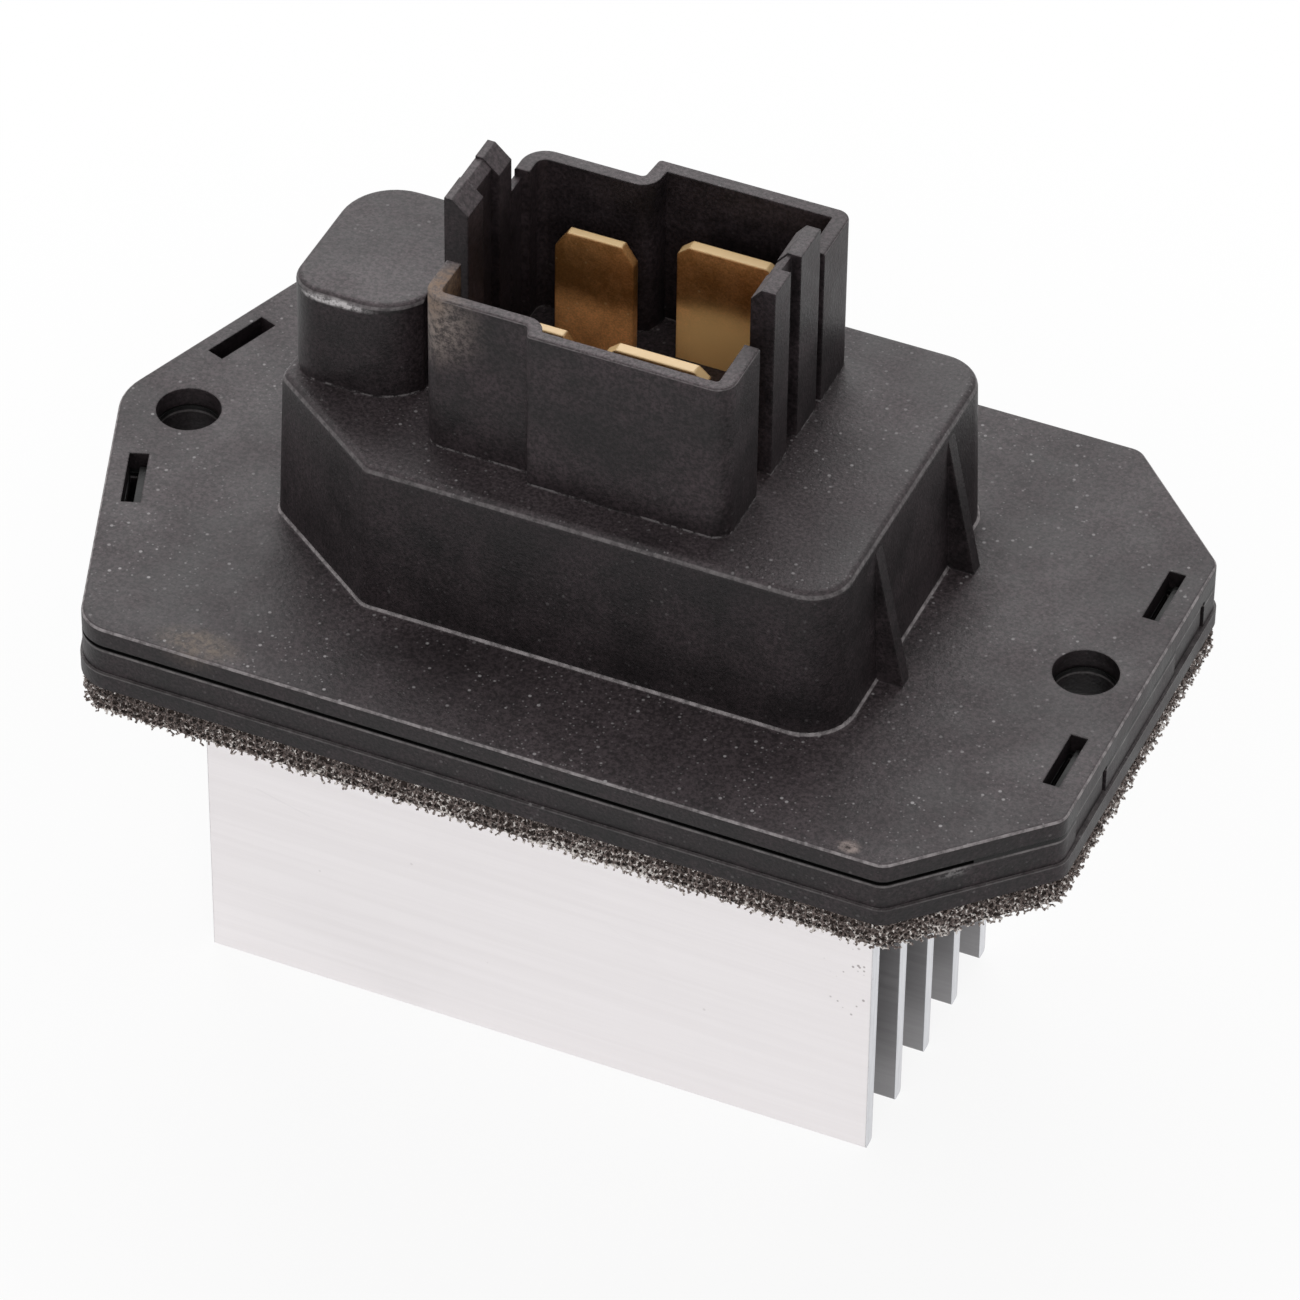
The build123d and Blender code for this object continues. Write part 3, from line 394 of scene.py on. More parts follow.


# painted highlights and wear, as pale lines along rounded edges that look up
def edgeHighlightAndWearLines(tree, coords, slope, look):
    low = spread(tree, axisPart(tree, coords, 2), *look["lowEdges"], 1.0, 0.0)
    lowLines = times(tree, band(tree, slope, *look["lowSlopes"]), low)
    highLines = times(tree, band(tree, slope, *look["highSlopes"]), look["highShare"])
    chips = noise(tree, coords, look["chip"], detail=4.0, rough=0.7)
    chips = spread(tree, chips, *look["chipRange"], *look["chipShare"])
    return times(tree, calc(tree, "MAXIMUM", lowLines, highLines), chips)


def dustDots(tree, coords, up, look):
    # thick on faces that look up, thin on walls and on the high faces
    fine = times(tree, specks(tree, coords, *look["fineDust"]), look["fineDustTone"])
    dots = calc(tree, "MAXIMUM", specks(tree, coords, *look["coarseDust"]), fine)
    thick = calc(tree, "MULTIPLY_ADD", up, look["dustOnTops"], look["dustOnWalls"])
    patches = noise(tree, coords, look["dustPatch"])
    patches = spread(tree, patches, *look["dustPatchRange"], *look["dustPatchShare"])
    high = spread(tree, axisPart(tree, coords, 2), *look["cleanerAbove"])
    front = spread(tree, axisPart(tree, coords, 1), *look["dustierFront"])
    return times(tree, dots, times(tree, thick, patches, high, front))


def makePlastic(name, look, finish):
    material, tree, shader = freshMaterial(name)
    coords = objectCoords(tree)
    slope = axisPart(tree, flatNormal(tree), 2)
    up = spread(tree, slope, *look["looksUp"])
    coarse = noise(tree, coords, look["blotch"], detail=4.0, rough=0.62)
    blotches = spread(tree, coarse, *look["blotchRange"])
    colour = blend(tree, blotches, look["dark"], look["light"])
    # dust and painted top light: faces that look up get a paler tone
    film = spread(tree, noise(tree, coords, look["filmCloud"]), *noiseRange, *look["filmShare"])
    colour = blend(tree, times(tree, up, film), colour, look["film"])
    colour = vectorCalc(tree, "SCALE", colour, grainsAndPaintedLight(tree, coords, look))
    colour = blend(tree, edgeHighlightAndWearLines(tree, coords, slope, look), colour, look["wornEdge"])
    colour = blend(tree, dustDots(tree, coords, up, look), colour, look["dust"])
    rough = spread(tree, coarse, *noiseRange, *look["roughness"])
    colour, rough = finish(tree, coords, look, colour, rough)
    fine = noise(tree, coords, look["grain"], detail=2.0, rough=0.6)
    height = calc(tree, "MULTIPLY_ADD", coarse, look["blotchHeight"], fine)
    rounded = roundedNormal(tree, look["edgeRound"], look["edgeSamples"])
    surface = bump(tree, height, look["grainDepth"], look["grainStrength"], over=rounded)
    connect(tree, shader, colour=colour, roughness=rough, normal=surface,
            specular=look["specular"])
    return material


# painted shade inside the seam between the housing and the frame
seamLook = {
    "shade": (0.0015, 0.0013, 0.0013),
    "low": (3.67 * mm, 3.70 * mm),  # the frame's top darkens between these heights
    "high": (4.04 * mm, 4.07 * mm),  # and the plate's underside between these
}

housingLook = {
    **plasticLook,
    # name: centre and reach in millimetres, strength, tone
    "marks": {
        "cornerSmudge": ((-11.8, -10.3, 30.2), (5.6, 3.0, 5.2), 1.2, (0.24, 0.20, 0.18)),
        "rimSmudge": ((-11.9, -9.2, 32.0), (3.0, 3.6, 1.6), 1.1, (0.27, 0.20, 0.155)),
        "innerSmudge": ((-10.9, -8.2, 31.0), (1.6, 3.0, 3.2), 1.2, (0.24, 0.155, 0.10)),
        "plateSmudge": ((-23.8, -24.0, 5.6), (4.4, 2.2, 2.2), 0.95, (0.22, 0.178, 0.145)),
        # a painted highlight along the cap's rounded front top edge
        "capRub": ((-20.6, -7.1, 26.5), (3.9, 1.0, 0.46), 1.9, (0.62, 0.59, 0.595)),
        "nickRing": ((28.0, -24.5, 5.6), (1.1, 0.9, 0.6), 1.8, (0.34, 0.28, 0.26)),
        "nickPit": ((27.9, -24.6, 5.6), (0.45, 0.36, 0.3), 1.3, (0.01, 0.008, 0.008)),
    },
    "markCore": 0.05,
    "markRoughness": 0.2,
    "mottle": 0.6 * mm,
    "mottleRange": (0.38, 0.62),
    "mottleShare": (0.15, 1.0),
    # a painted highlight: a broken pale line where the shroud and the cap rise from the roof
    "flash": (0.26, 0.24, 0.245),
    "flashShare": 0.6,
    "flashAt": (18.62 * mm, 18.76 * mm, 0.04 * mm),
    "flashPiece": 1.3 * mm,
    "flashRange": (0.44, 0.58),
    "wallSlopes": (0.2, 0.4),
}


def finishHousing(tree, coords, look, colour, rough):
    mottle = noise(tree, coords, look["mottle"], detail=5.0, rough=0.8)
    mottle = spread(tree, mottle, *look["mottleRange"], *look["mottleShare"])
    for centre, reach, strength, tone in look["marks"].values():
        mark = spot(tree, coords, millimetres(centre), millimetres(reach), look["markCore"])
        patch = calc(tree, "MULTIPLY", times(tree, mark, strength), mottle, clamp=True)
        colour = blend(tree, patch, colour, tone)
        rough = calc(tree, "MULTIPLY_ADD", patch, look["markRoughness"], rough)
    level = axisPart(tree, coords, 2)
    # painted highlight along the foot of the walls
    slope = calc(tree, "ABSOLUTE", axisPart(tree, flatNormal(tree), 2))
    walls = spread(tree, slope, *look["wallSlopes"], 1.0, 0.0)
    broken = noise(tree, coords, look["flashPiece"], detail=4.0, rough=0.75)
    broken = spread(tree, broken, *look["flashRange"])
    flash = times(tree, band(tree, level, *look["flashAt"]), broken, walls, look["flashShare"])
    colour = blend(tree, flash, colour, look["flash"])
    # painted shade: the underside stays dark inside the seam
    under = spread(tree, level, *seamLook["high"], 1.0, 0.0)
    return blend(tree, under, colour, seamLook["shade"]), rough


frameLook = {
    **plasticLook,
    "blotch": 3.5 * mm,
    "edgeRound": 0.07 * mm,
    # painted highlights on small ledges that face up: a pale line under the seam, and a fainter
    # one along the lip
    "line": (0.20, 0.185, 0.185),
    "seamLine": (3.46 * mm, 3.60 * mm, 0.05 * mm),
    "seamLineShare": 0.8,
    "lipLine": (1.36 * mm, 1.46 * mm, 0.05 * mm),
    "lipLineShare": 0.5,
    "lineChip": 1.1 * mm,
    "lineChipRange": (0.35, 0.65),
    "lineChipShare": (0.35, 1.0),
    # a scuffed spot at the front right corner
    "scuff": (0.26, 0.25, 0.25),
    "scuffShare": 0.6,
    "scuffAt": (34.9 * mm, -21.6 * mm, 3.3 * mm),
    "scuffReach": (1.8 * mm, 1.8 * mm, 0.7 * mm),
    "scuffCore": 0.2,
    "scuffGrain": 0.4 * mm,
    "scuffRange": (0.42, 0.6),
}


def finishFrame(tree, coords, look, colour, rough):
    level = axisPart(tree, coords, 2)
    chips = noise(tree, coords, look["lineChip"], detail=4.0, rough=0.7)
    chips = spread(tree, chips, *look["lineChipRange"], *look["lineChipShare"])
    # painted highlights along the seam and the lip
    for line in ("seamLine", "lipLine"):
        shown = times(tree, band(tree, level, *look[line]), chips, look[line + "Share"])
        colour = blend(tree, shown, colour, look["line"])
    scuffed = spot(tree, coords, look["scuffAt"], look["scuffReach"], look["scuffCore"])
    torn = noise(tree, coords, look["scuffGrain"], detail=4.0, rough=0.75)
    torn = spread(tree, torn, *look["scuffRange"])
    colour = blend(tree, times(tree, scuffed, torn, look["scuffShare"]), colour, look["scuff"])
    # painted shade: the top stays dark inside the seam
    shaded = spread(tree, level, *seamLook["low"])
    return blend(tree, shaded, colour, seamLook["shade"]), rough


def paint(nodeName, material):
    piece = nodes[nodeName]
    if not piece.data.materials:
        piece.data.materials.append(material)
    for slot in piece.material_slots:
        slot.material = material


paint("upper_housing", makePlastic("mouldedHousing", housingLook, finishHousing))
paint("lower_frame", makePlastic("mouldedFrame", frameLook, finishFrame))

print("stage 3: aluminium heatsink")

heatsinkLook = {
    "face": (0.915, 0.88, 0.888),
    "streak": (0.89, 0.855, 0.862),
    "roughness": (0.34, 0.46),
    "metallic": 0.85,
    "squareOn": (0.6, 0.9),  # how squarely a face looks along an axis to take that axis's tone
    # draw lines run along X
    "drawStretch": (0.02, 1.0, 1.0),
    "drawLine": 0.10 * mm,
    "drawBand": 0.6 * mm,
    "lineDepth": 0.010 * mm,
    "lineStrength": 0.4,
    "cloud": 5.0 * mm,
    "cloudRange": (0.45, 0.8),
    "cloudShare": 0.5,
    # painted shade between the fins: the faces there are darker and less metallic
    "between": (0.30, 0.293, 0.30),
    "betweenLight": 1.12,  # how much lighter the streaks on them are
    "betweenRange": (0.35, 0.65),
    "betweenMetallic": -0.45,  # added to the metallic value
    "outerFins": (11.85 * mm, 11.95 * mm),  # beyond this, a fin's face looks outwards
    "belowBase": (-2.0 * mm, -1.0 * mm),  # the fins begin between these heights
    # the ends are sawn from top to bottom
    "sawn": (0.66, 0.665, 0.69),
    "sawnLight": 1.15,  # how much lighter the saw marks are
    "sawStretch": (1.0, 1.0, 0.05),
    "sawMark": 0.16 * mm,
    # dark pits near the right end of the front fin, and a few elsewhere
    "pit": (0.22, 0.18, 0.18),
    "pitShare": 0.7,
    "pitDots": (0.55 * mm, 0.15 * mm, 0.5),
    "pitsAt": (23.6 * mm, -12.3 * mm, -19.8 * mm),
    "pitsReach": (2.4 * mm, 2.0 * mm, 5.5 * mm),
    "pitsCore": 0.5,
    "rarePits": (3.6 * mm, 0.16 * mm, 0.6),
    "rareShare": 0.25,
    # start and end in millimetres, strength
    "scratches": [
        ((-29.2, -12.3, -27.6), (-27.9, -12.3, -31.2), 0.4),
        ((-25.5, -12.3, -19.0), (-21.0, -12.3, -20.2), 0.12),
        ((4.0, -12.3, -22.0), (11.5, -12.3, -26.5), 0.10),
        ((15.0, -12.3, -33.0), (16.2, -12.3, -30.2), 0.2),
        ((-6.0, 12.3, -14.0), (-1.0, 12.3, -19.0), 0.2),
        ((12.0, 12.3, -30.0), (16.5, 12.3, -27.5), 0.2),
    ],
    "scratchWidth": 0.14 * mm,
    # a dark tone for scratches, and painted shade along the rounded edges
    "edge": (0.30, 0.31, 0.33),
    "edgeShare": 0.55,
    "edgeRange": (0.004, 0.12),
    "edgeRound": 0.14 * mm,
    "edgeSamples": 3,
}


def betweenFins(tree, coords, look):
    away = calc(tree, "ABSOLUTE", axisPart(tree, coords, 1))
    inside = spread(tree, away, *look["outerFins"], 1.0, 0.0)
    below = spread(tree, axisPart(tree, coords, 2), *look["belowBase"], 1.0, 0.0)
    return times(tree, inside, facing(tree, 1, *look["squareOn"]), below)


def pitsAndScratches(tree, coords, colour, look):
    near = spot(tree, coords, look["pitsAt"], look["pitsReach"], look["pitsCore"])
    pits = times(tree, specks(tree, coords, *look["pitDots"]), near)
    rare = times(tree, specks(tree, coords, *look["rarePits"]), look["rareShare"])
    pits = times(tree, calc(tree, "MAXIMUM", pits, rare), look["pitShare"])
    colour = blend(tree, pits, colour, look["pit"])
    for start, end, strength in look["scratches"]:
        ends = (millimetres(start), millimetres(end))
        mark = scratch(tree, coords, *ends, look["scratchWidth"])
        colour = blend(tree, times(tree, mark, strength), colour, look["edge"])
    return colour


def makeAluminium(look):
    material, tree, shader = freshMaterial("drawnAluminium")
    coords = objectCoords(tree)
    along = objectCoords(tree, look["drawStretch"])
    lines = noise(tree, along, look["drawLine"], detail=3.0, rough=0.65)
    bands = noise(tree, along, look["drawBand"], detail=4.0, rough=0.7)
    cloud = noise(tree, coords, look["cloud"], detail=4.0, rough=0.6)
    cloud = times(tree, spread(tree, cloud, *look["cloudRange"]), look["cloudShare"])
    colour = blend(tree, spread(tree, bands, *noiseRange), look["face"], look["streak"])
    colour = blend(tree, cloud, colour, look["streak"])
    # painted shade on the faces between the fins
    between = betweenFins(tree, coords, look)
    lighter = [look["betweenLight"] * c for c in look["between"]]
    darkened = blend(tree, spread(tree, bands, *look["betweenRange"]), look["between"], lighter)
    colour = blend(tree, between, colour, darkened)
    sawnFace = facing(tree, 0, *look["squareOn"])
    sawMarks = noise(tree, objectCoords(tree, look["sawStretch"]), look["sawMark"], detail=2.0,
                     rough=0.6)
    lighter = [look["sawnLight"] * c for c in look["sawn"]]
    sawnTone = blend(tree, spread(tree, sawMarks, *noiseRange), look["sawn"], lighter)
    colour = blend(tree, sawnFace, colour, sawnTone)
    colour = pitsAndScratches(tree, coords, colour, look)
    rounded = roundedNormal(tree, look["edgeRound"], look["edgeSamples"])
    # painted shade along the rounded edges
    edges = times(tree, edgeMask(tree, rounded, *look["edgeRange"]), look["edgeShare"])
    colour = blend(tree, edges, colour, look["edge"])
    rough = spread(tree, bands, *noiseRange, *look["roughness"])
    # saw marks on the ends, draw lines on the rest
    height = calc(tree, "MULTIPLY_ADD", sawnFace, calc(tree, "SUBTRACT", sawMarks, lines), lines)
    surface = bump(tree, height, look["lineDepth"], look["lineStrength"], over=rounded)
    metal = calc(tree, "MULTIPLY_ADD", between, look["betweenMetallic"], look["metallic"])
    connect(tree, shader, colour=colour, roughness=rough, normal=surface, metallic=metal)
    return material


paint("heatsink", makeAluminium(heatsinkLook))

print("stage 4: brass blades")

brassLook = {
    "bright": (0.80, 0.395, 0.15),
    "brown": (0.305, 0.14, 0.04),
    "roughness": (0.28, 0.42),
    "roughRange": (0.35, 0.65),
    "metallic": (0.03, 0.72),  # clean and tarnished
    # tarnish in clouds and fine mottles, and more of it in a belt below the tips
    "cloud": 2.2 * mm,
    "cloudShare": 0.7,
    "mottle": 0.30 * mm,
    "mottleShare": 0.3,
    "tarnishRange": (0.38, 0.62),
    "tarnishShare": 0.45,
    "beltRise": (21.8 * mm, 24.8 * mm),
    "beltFall": (26.4 * mm, 29.2 * mm, 1.0, 0.6),
    "beltShare": 0.62,
    "grain": 0.16 * mm,
    "grainTone": (0.82, 1.2),
    # bare metal with a painted highlight on the edges that look up, and bare metal in small dots
    "cream": (0.80, 0.56, 0.28),
    "edgeRound": 0.26 * mm,
    "edgeSamples": 4,
    "looksUp": (0.5, 0.85),
    "dots": (0.8 * mm, 0.13 * mm, 0.3),
    "dotShare": 0.5,
    # painted light: a bright, less metallic patch low on the blades
    "rubbed": (1.0, 0.67, 0.28),
    "rubbedShare": 0.95,
    "rubbedAt": (4.8 * mm, 6.0 * mm, 20.4 * mm),
    "rubbedReach": (8.0 * mm, 3.0 * mm, 5.4 * mm),
    "rubbedCore": 0.25,
    "drawStretch": (1.0, 1.0, 0.06),
    "drawLine": 0.12 * mm,
    "drawShare": 0.6,
    "lineDepth": 0.01 * mm,
    "lineStrength": 0.5,
    "pieces": (
        "signal_terminal_back", "signal_terminal_front",
        "power_terminal_back", "power_terminal_front",
    ),
}


def makeBrass(look):
    material, tree, shader = freshMaterial("stampedBrass")
    coords = objectCoords(tree)
    height = axisPart(tree, coords, 2)
    fall = spread(tree, height, *look["beltFall"])
    belt = times(tree, spread(tree, height, *look["beltRise"]), fall)
    mottle = noise(tree, coords, look["mottle"], detail=3.0, rough=0.6)
    cloud = noise(tree, coords, look["cloud"], detail=4.0, rough=0.55, warp=0.3)
    cloud = times(tree, cloud, look["cloudShare"])
    mixed = calc(tree, "MULTIPLY_ADD", mottle, look["mottleShare"], cloud)
    tarnish = calc(tree, "MULTIPLY_ADD", spread(tree, mixed, *look["tarnishRange"]),
                   look["tarnishShare"], times(tree, belt, look["beltShare"]))
    colour = blend(tree, tarnish, look["bright"], look["brown"])
    grain = noise(tree, coords, look["grain"], detail=2.0, rough=0.7)
    grain = spread(tree, grain, *noiseRange, *look["grainTone"])
    colour = vectorCalc(tree, "SCALE", colour, grain)
    rounded = roundedNormal(tree, look["edgeRound"], look["edgeSamples"])
    # bare metal and a painted highlight on the rounded edges that look up
    up = spread(tree, axisPart(tree, rounded, 2), *look["looksUp"])
    colour = blend(tree, up, colour, look["cream"])
    dots = times(tree, specks(tree, coords, *look["dots"]), look["dotShare"])
    colour = blend(tree, dots, colour, look["cream"])
    # painted light that brightens a patch low on the blades
    rubbed = spot(tree, coords, look["rubbedAt"], look["rubbedReach"], look["rubbedCore"])
    colour = blend(tree, times(tree, rubbed, look["rubbedShare"]), colour, look["rubbed"])
    drawn = noise(tree, objectCoords(tree, look["drawStretch"]), look["drawLine"], detail=2.0)
    lines = calc(tree, "MULTIPLY_ADD", drawn, look["drawShare"], mottle)
    surface = bump(tree, lines, look["lineDepth"], look["lineStrength"], over=rounded)
    rough = spread(tree, mixed, *look["roughRange"], *look["roughness"])
    pale = calc(tree, "MAXIMUM", rubbed, up)
    darkened = calc(tree, "SUBTRACT", belt, pale, clamp=True)
    metal = spread(tree, darkened, 0.0, 1.0, *look["metallic"])
    connect(tree, shader, colour=colour, roughness=rough, normal=surface, metallic=metal)
    return material


brass = makeBrass(brassLook)
for bladeName in brassLook["pieces"]:
    paint(bladeName, brass)

print("stage 5: foam gasket")

gasket = {
    # corner x, corner y and corner radius of the plate, in millimetres
    "plateCorners": [
        (-42.2, 0.0, 5.0), (-33.0, -25.5, 3.0), (31.0, -25.5, 1.6), (41.0, -15.5, 1.6),
        (41.0, 15.5, 1.6), (31.0, 25.5, 1.6), (-33.0, 25.5, 3.0),
    ],
    "cornerSteps": 6,
    "inset": -0.1 * mm,  # the soft edge swells out a little under the frame
    "thickness": 2.8 * mm,
    "top": -0.02 * mm,
    "windowCentre": -2.1 * mm,
    "windowHalf": (28.5 * mm, 13.3 * mm),
    "windowRadius": 1.5 * mm,
    "windowSteps": 3,
    "holes": [(-36.5 * mm, 0.0), (36.5 * mm, 0.0)],
    "holeRadius": 3.6 * mm,
    "holeSteps": 24,
}

foamLook = {
    # the open cells round the outer side
    "seed": 7,
    "cell": 0.655 * mm,  # one pore of the open-cell foam
    "latticeStart": (-42.8 * mm, -26.4 * mm),
    "latticeSize": (85 * mm, 53 * mm),
    "latticeSink": 0.25,  # how far it starts below the gasket, in cells
    "jitter": 0.13,
    "driftWave": 3.1 * mm,  # a slow drift, so that no rows show
    "driftShare": 0.16,
    "driftPhase": 1.7,
    "secondWave": 0.61,
    "strut": 0.080 * mm,
    "strutShares": (0.75, 1.3),
    "strutOverlap": 0.3,  # how far a strut runs past its corners, in its own radii
    "shell": 0.46 * mm,  # how deep the open cells are modelled
    "ragged": (-0.05, 0.12),  # how far the outer limit wanders, in millimetres
    "holeMargin": 0.1 * mm,
    "heldBehind": 0.03 * mm,  # struts this far inside the core hold the others
    "heldAbove": -2.4 * mm,
    "heldRounds": 40,
    # cut struts at the outer side
    "stubShare": 0.5,
    "stubLength": 0.36,
    "stubDepth": 0.3 * mm,
    "stubBelow": -0.2 * mm,
    # the dense core
    "core": 0.36 * mm,  # how far in the dense core starts
    "coreSpacing": 0.95 * mm,
    "coreJitter": 0.3,
    "coreMargin": 0.45 * mm,
    "coreLift": 0.12 * mm,  # from the gasket's underside to the core's
    "coreWobble": 0.10,  # in millimetres
    "cornerReach": 0.1 * mm,  # the core's lower outer corner is taken off
    "cornerLevel": -2.45 * mm,
    # fibres, where the pale tone stands for painted glints and light through the pores
    "dark": (0.058, 0.045, 0.041),
    "middle": (0.225, 0.176, 0.16),
    "pale": (0.95, 0.90, 0.86),
    "fibreTone": 0.34 * mm,
    "fibreShare": 0.8,
    "fibreDrift": 3.0 * mm,
    "fibreDriftShare": 0.2,
    # painted light: the fibres get paler towards the lower edge
    "lowerEdge": (-2.6 * mm, -0.6 * mm, 0.05, -0.02),  # paler fibres towards the lower edge
    "middleRange": (0.36, 0.52),
    "paleRange": (0.54, 0.61),
    "roughness": (0.55, 0.8),
    "specular": 0.35,
    "sheen": 0.15,
    "sheenRough": 0.5,
    # pores of the core's surface, with painted glints on the tips of their walls
    "coreTone": (0.042, 0.031, 0.027),
    "poreWall": (0.02, 0.16),
    "poreGrain": 0.2 * mm,
    "poreRange": (0.25, 0.6),
    "poreTips": (0.52, 0.7),
    "poreGrainHeight": 0.3,
    "poreDepth": 0.3 * mm,
    "poreStrength": 0.9,
    "coreRoughness": (0.7, 0.9),
    "coreSpecular": 0.2,
}


def roundedOutline(corners, arcSteps):
    # each corner, given as x, y and radius in millimetres, becomes an arc
    points = []
    count = len(corners)
    for index in range(count):
        x, y, radius = corners[index]
        here = np.array((x, y)) * mm
        before = np.array(corners[index - 1][:2]) * mm - here
        after = np.array(corners[(index + 1) % count][:2]) * mm - here
        before /= np.linalg.norm(before)
        after /= np.linalg.norm(after)
        half = math.acos(float(np.clip(before @ after, -1, 1))) / 2
        bisector = (before + after) / np.linalg.norm(before + after)
        centre = here + bisector * radius * mm / math.sin(half)
        start = here + before * radius * mm / math.tan(half) - centre
        end = here + after * radius * mm / math.tan(half) - centre
        startAngle = math.atan2(start[1], start[0])
        turn = math.atan2(end[1], end[0]) - startAngle
        turn = (turn + math.pi) % (2 * math.pi) - math.pi
        for step in range(arcSteps + 1):
            angle = startAngle + turn * step / arcSteps
            points.append(centre + radius * mm * np.array((math.cos(angle), math.sin(angle))))
    return np.array(points)


plateLoop = roundedOutline(gasket["plateCorners"], gasket["cornerSteps"])
tiny = 1e-7  # sides and gaps below this count as none


def depthInside(points, loop):
    # distance in from a convex outline that runs anticlockwise, negative outside
    along = np.roll(loop, -1, axis=0) - loop
    lengths = np.linalg.norm(along, axis=1)
    keep = lengths > tiny
    inward = np.stack((-along[keep, 1], along[keep, 0]), axis=1) / lengths[keep, None]
    offsets = (loop[keep] * inward).sum(axis=1)
    depth = np.full(len(points), np.inf)
    for normal, offset in zip(inward, offsets):
        depth = np.minimum(depth, points @ normal - offset)
    return depth


def clearOfHoles(points, margin):
    clear = np.ones(len(points), bool)
    for x, y in gasket["holes"]:
        away = np.hypot(points[:, 0] - x, points[:, 1] - y)
        clear &= away > gasket["holeRadius"] + margin
    return clear


def foamLattice(look):
    # corners and struts of packed truncated octahedra, which is how open cells fill space: on a
    # grid of quarter cells, a corner's distances from the nearest whole cell are 0, 1 and 2
    cell = look["cell"]
    thick = gasket["thickness"]
    counts = [math.ceil(size / cell) for size in (*look["latticeSize"], thick)]
    counts[2] += 1
    shape = [4 * c + 1 for c in counts]
    index = np.full(shape, -1, dtype=np.int64)
    grid = np.stack(np.meshgrid(*[np.arange(s) for s in shape], indexing="ij"), axis=-1)
    left = np.sort(np.minimum(grid % 4, 4 - grid % 4), axis=-1)
    isCorner = (left == np.array((0, 1, 2))).all(axis=-1)
    places = grid[isCorner]
    index[isCorner] = np.arange(len(places))
    points = places * (cell / 4)
    points = points + np.array((*look["latticeStart"], -thick - look["latticeSink"] * cell))
    random = np.random.default_rng(look["seed"])
    points = points + random.normal(0, look["jitter"] * cell / 2, points.shape)
    wave = 2 * math.pi / look["driftWave"]
    for axis in range(3):
        first = points[:, (axis + 1) % 3] * wave + look["driftPhase"] * axis
        second = points[:, (axis + 2) % 3] * wave * look["secondWave"] + axis
        points[:, axis] += look["driftShare"] * cell * (np.sin(first) + np.sin(second))
    struts = []
    for step in ((1, 1, 0), (1, -1, 0), (1, 0, 1), (1, 0, -1), (0, 1, 1), (0, 1, -1)):
        moved = places + np.array(step)
        fits = ((moved >= 0) & (moved < np.array(shape))).all(axis=1)
        ends = index[tuple(moved[fits].T)]
        starts = np.nonzero(fits)[0]
        found = ends >= 0
        struts.append(np.stack((starts[found], ends[found]), axis=1))
    return points, np.concatenate(struts)


def strutMesh(starts, ends, radius, overlap):
    # closed three-sided struts, each a little longer than the gap between its corners
    along = ends - starts
    along /= np.linalg.norm(along, axis=1)[:, None]
    upright = np.abs(along[:, 2:3]) >= 0.8  # the helper must not run along the strut
    helper = np.where(upright, np.array([[1.0, 0, 0]]), np.array([[0, 0, 1.0]]))
    side = np.cross(along, helper)
    side /= np.linalg.norm(side, axis=1)[:, None]
    other = np.cross(along, side)
    reach = along * radius[:, None] * overlap
    rings = []
    for base in (starts - reach, ends + reach):
        for step in range(3):
            angle = 2 * math.pi * step / 3
            out = side * math.cos(angle) + other * math.sin(angle)
            rings.append(base + out * radius[:, None])
    points = np.stack(rings, axis=1).reshape(-1, 3)
    first = np.arange(len(starts))[:, None] * 6
    faces = []
    for step in range(3):
        after = (step + 1) % 3
        faces.append(first + np.array([[step, after, 3 + after]]))
        faces.append(first + np.array([[step, 3 + after, 3 + step]]))
    faces.append(first + np.array([[2, 1, 0]]))
    faces.append(first + np.array([[3, 4, 5]]))
    return points, np.concatenate(faces)


def heldByCore(held, linked, rounds):
    # the corners that hang together with the ones held so far
    for _ in range(rounds):
        reached = held.copy()
        reached[linked[held[linked[:, 0]], 1]] = True
        reached[linked[held[linked[:, 1]], 0]] = True
        if (reached == held).all():
            break
        held = reached
    return held


def openCells(look):
    points, struts = foamLattice(look)
    random = np.random.default_rng(look["seed"] + 1)
    level = points[:, 2]
    depth = depthInside(points[:, :2], plateLoop) - gasket["inset"]
    ragged = random.uniform(*look["ragged"], len(points)) * mm
    inside = (depth > ragged) & (depth < look["shell"])
    inside &= (level > -gasket["thickness"] + ragged) & (level < gasket["top"])
    inside &= clearOfHoles(points, look["holeMargin"])
    linked = struts[inside[struts[:, 0]] & inside[struts[:, 1]]]
    held = inside & (depth > look["core"] + look["heldBehind"]) & (level > look["heldAbove"])
    inside = heldByCore(held, linked, look["heldRounds"])
    both = inside[struts[:, 0]] & inside[struts[:, 1]]
    starts, ends = points[struts[both, 0]], points[struts[both, 1]]
    # cut struts that stick out a little
    for first, second in ((0, 1), (1, 0)):
        half = inside[struts[:, first]] & ~inside[struts[:, second]]
        half &= depth[struts[:, second]] < look["stubDepth"]
        half &= level[struts[:, second]] < look["stubBelow"]
        half &= random.random(len(half)) < look["stubShare"]
        stubStart = points[struts[half, first]]
        stub = (points[struts[half, second]] - stubStart) * look["stubLength"]
        starts = np.concatenate((starts, stubStart))
        ends = np.concatenate((ends, stubStart + stub))
    radius = look["strut"] * random.uniform(*look["strutShares"], len(starts))
    return strutMesh(starts, ends, radius, look["strutOverlap"])


def insideCore(points, rim, margin):
    halfX, halfY = gasket["windowHalf"]
    keep = depthInside(points, plateLoop) > rim + margin
    beyondX = np.abs(points[:, 0] - gasket["windowCentre"]) - halfX
    beyondY = np.abs(points[:, 1]) - halfY
    keep &= np.maximum(beyondX, beyondY) > margin
    return keep & clearOfHoles(points, margin)


def pointsAlong(loop, spacing, shift=0.0, inset=0.0):
    # evenly spaced points along each side of an outline
    points = []
    for start, end in zip(loop, np.roll(loop, -1, axis=0)):
        along = end - start
        length = float(np.linalg.norm(along))
        if length < tiny:
            continue
        steps = max(1, round(length / spacing))
        inward = np.array((-along[1], along[0])) / length
        for step in range(steps):
            points.append(start + along * (step + shift) / steps + inward * inset)
    return np.array(points)


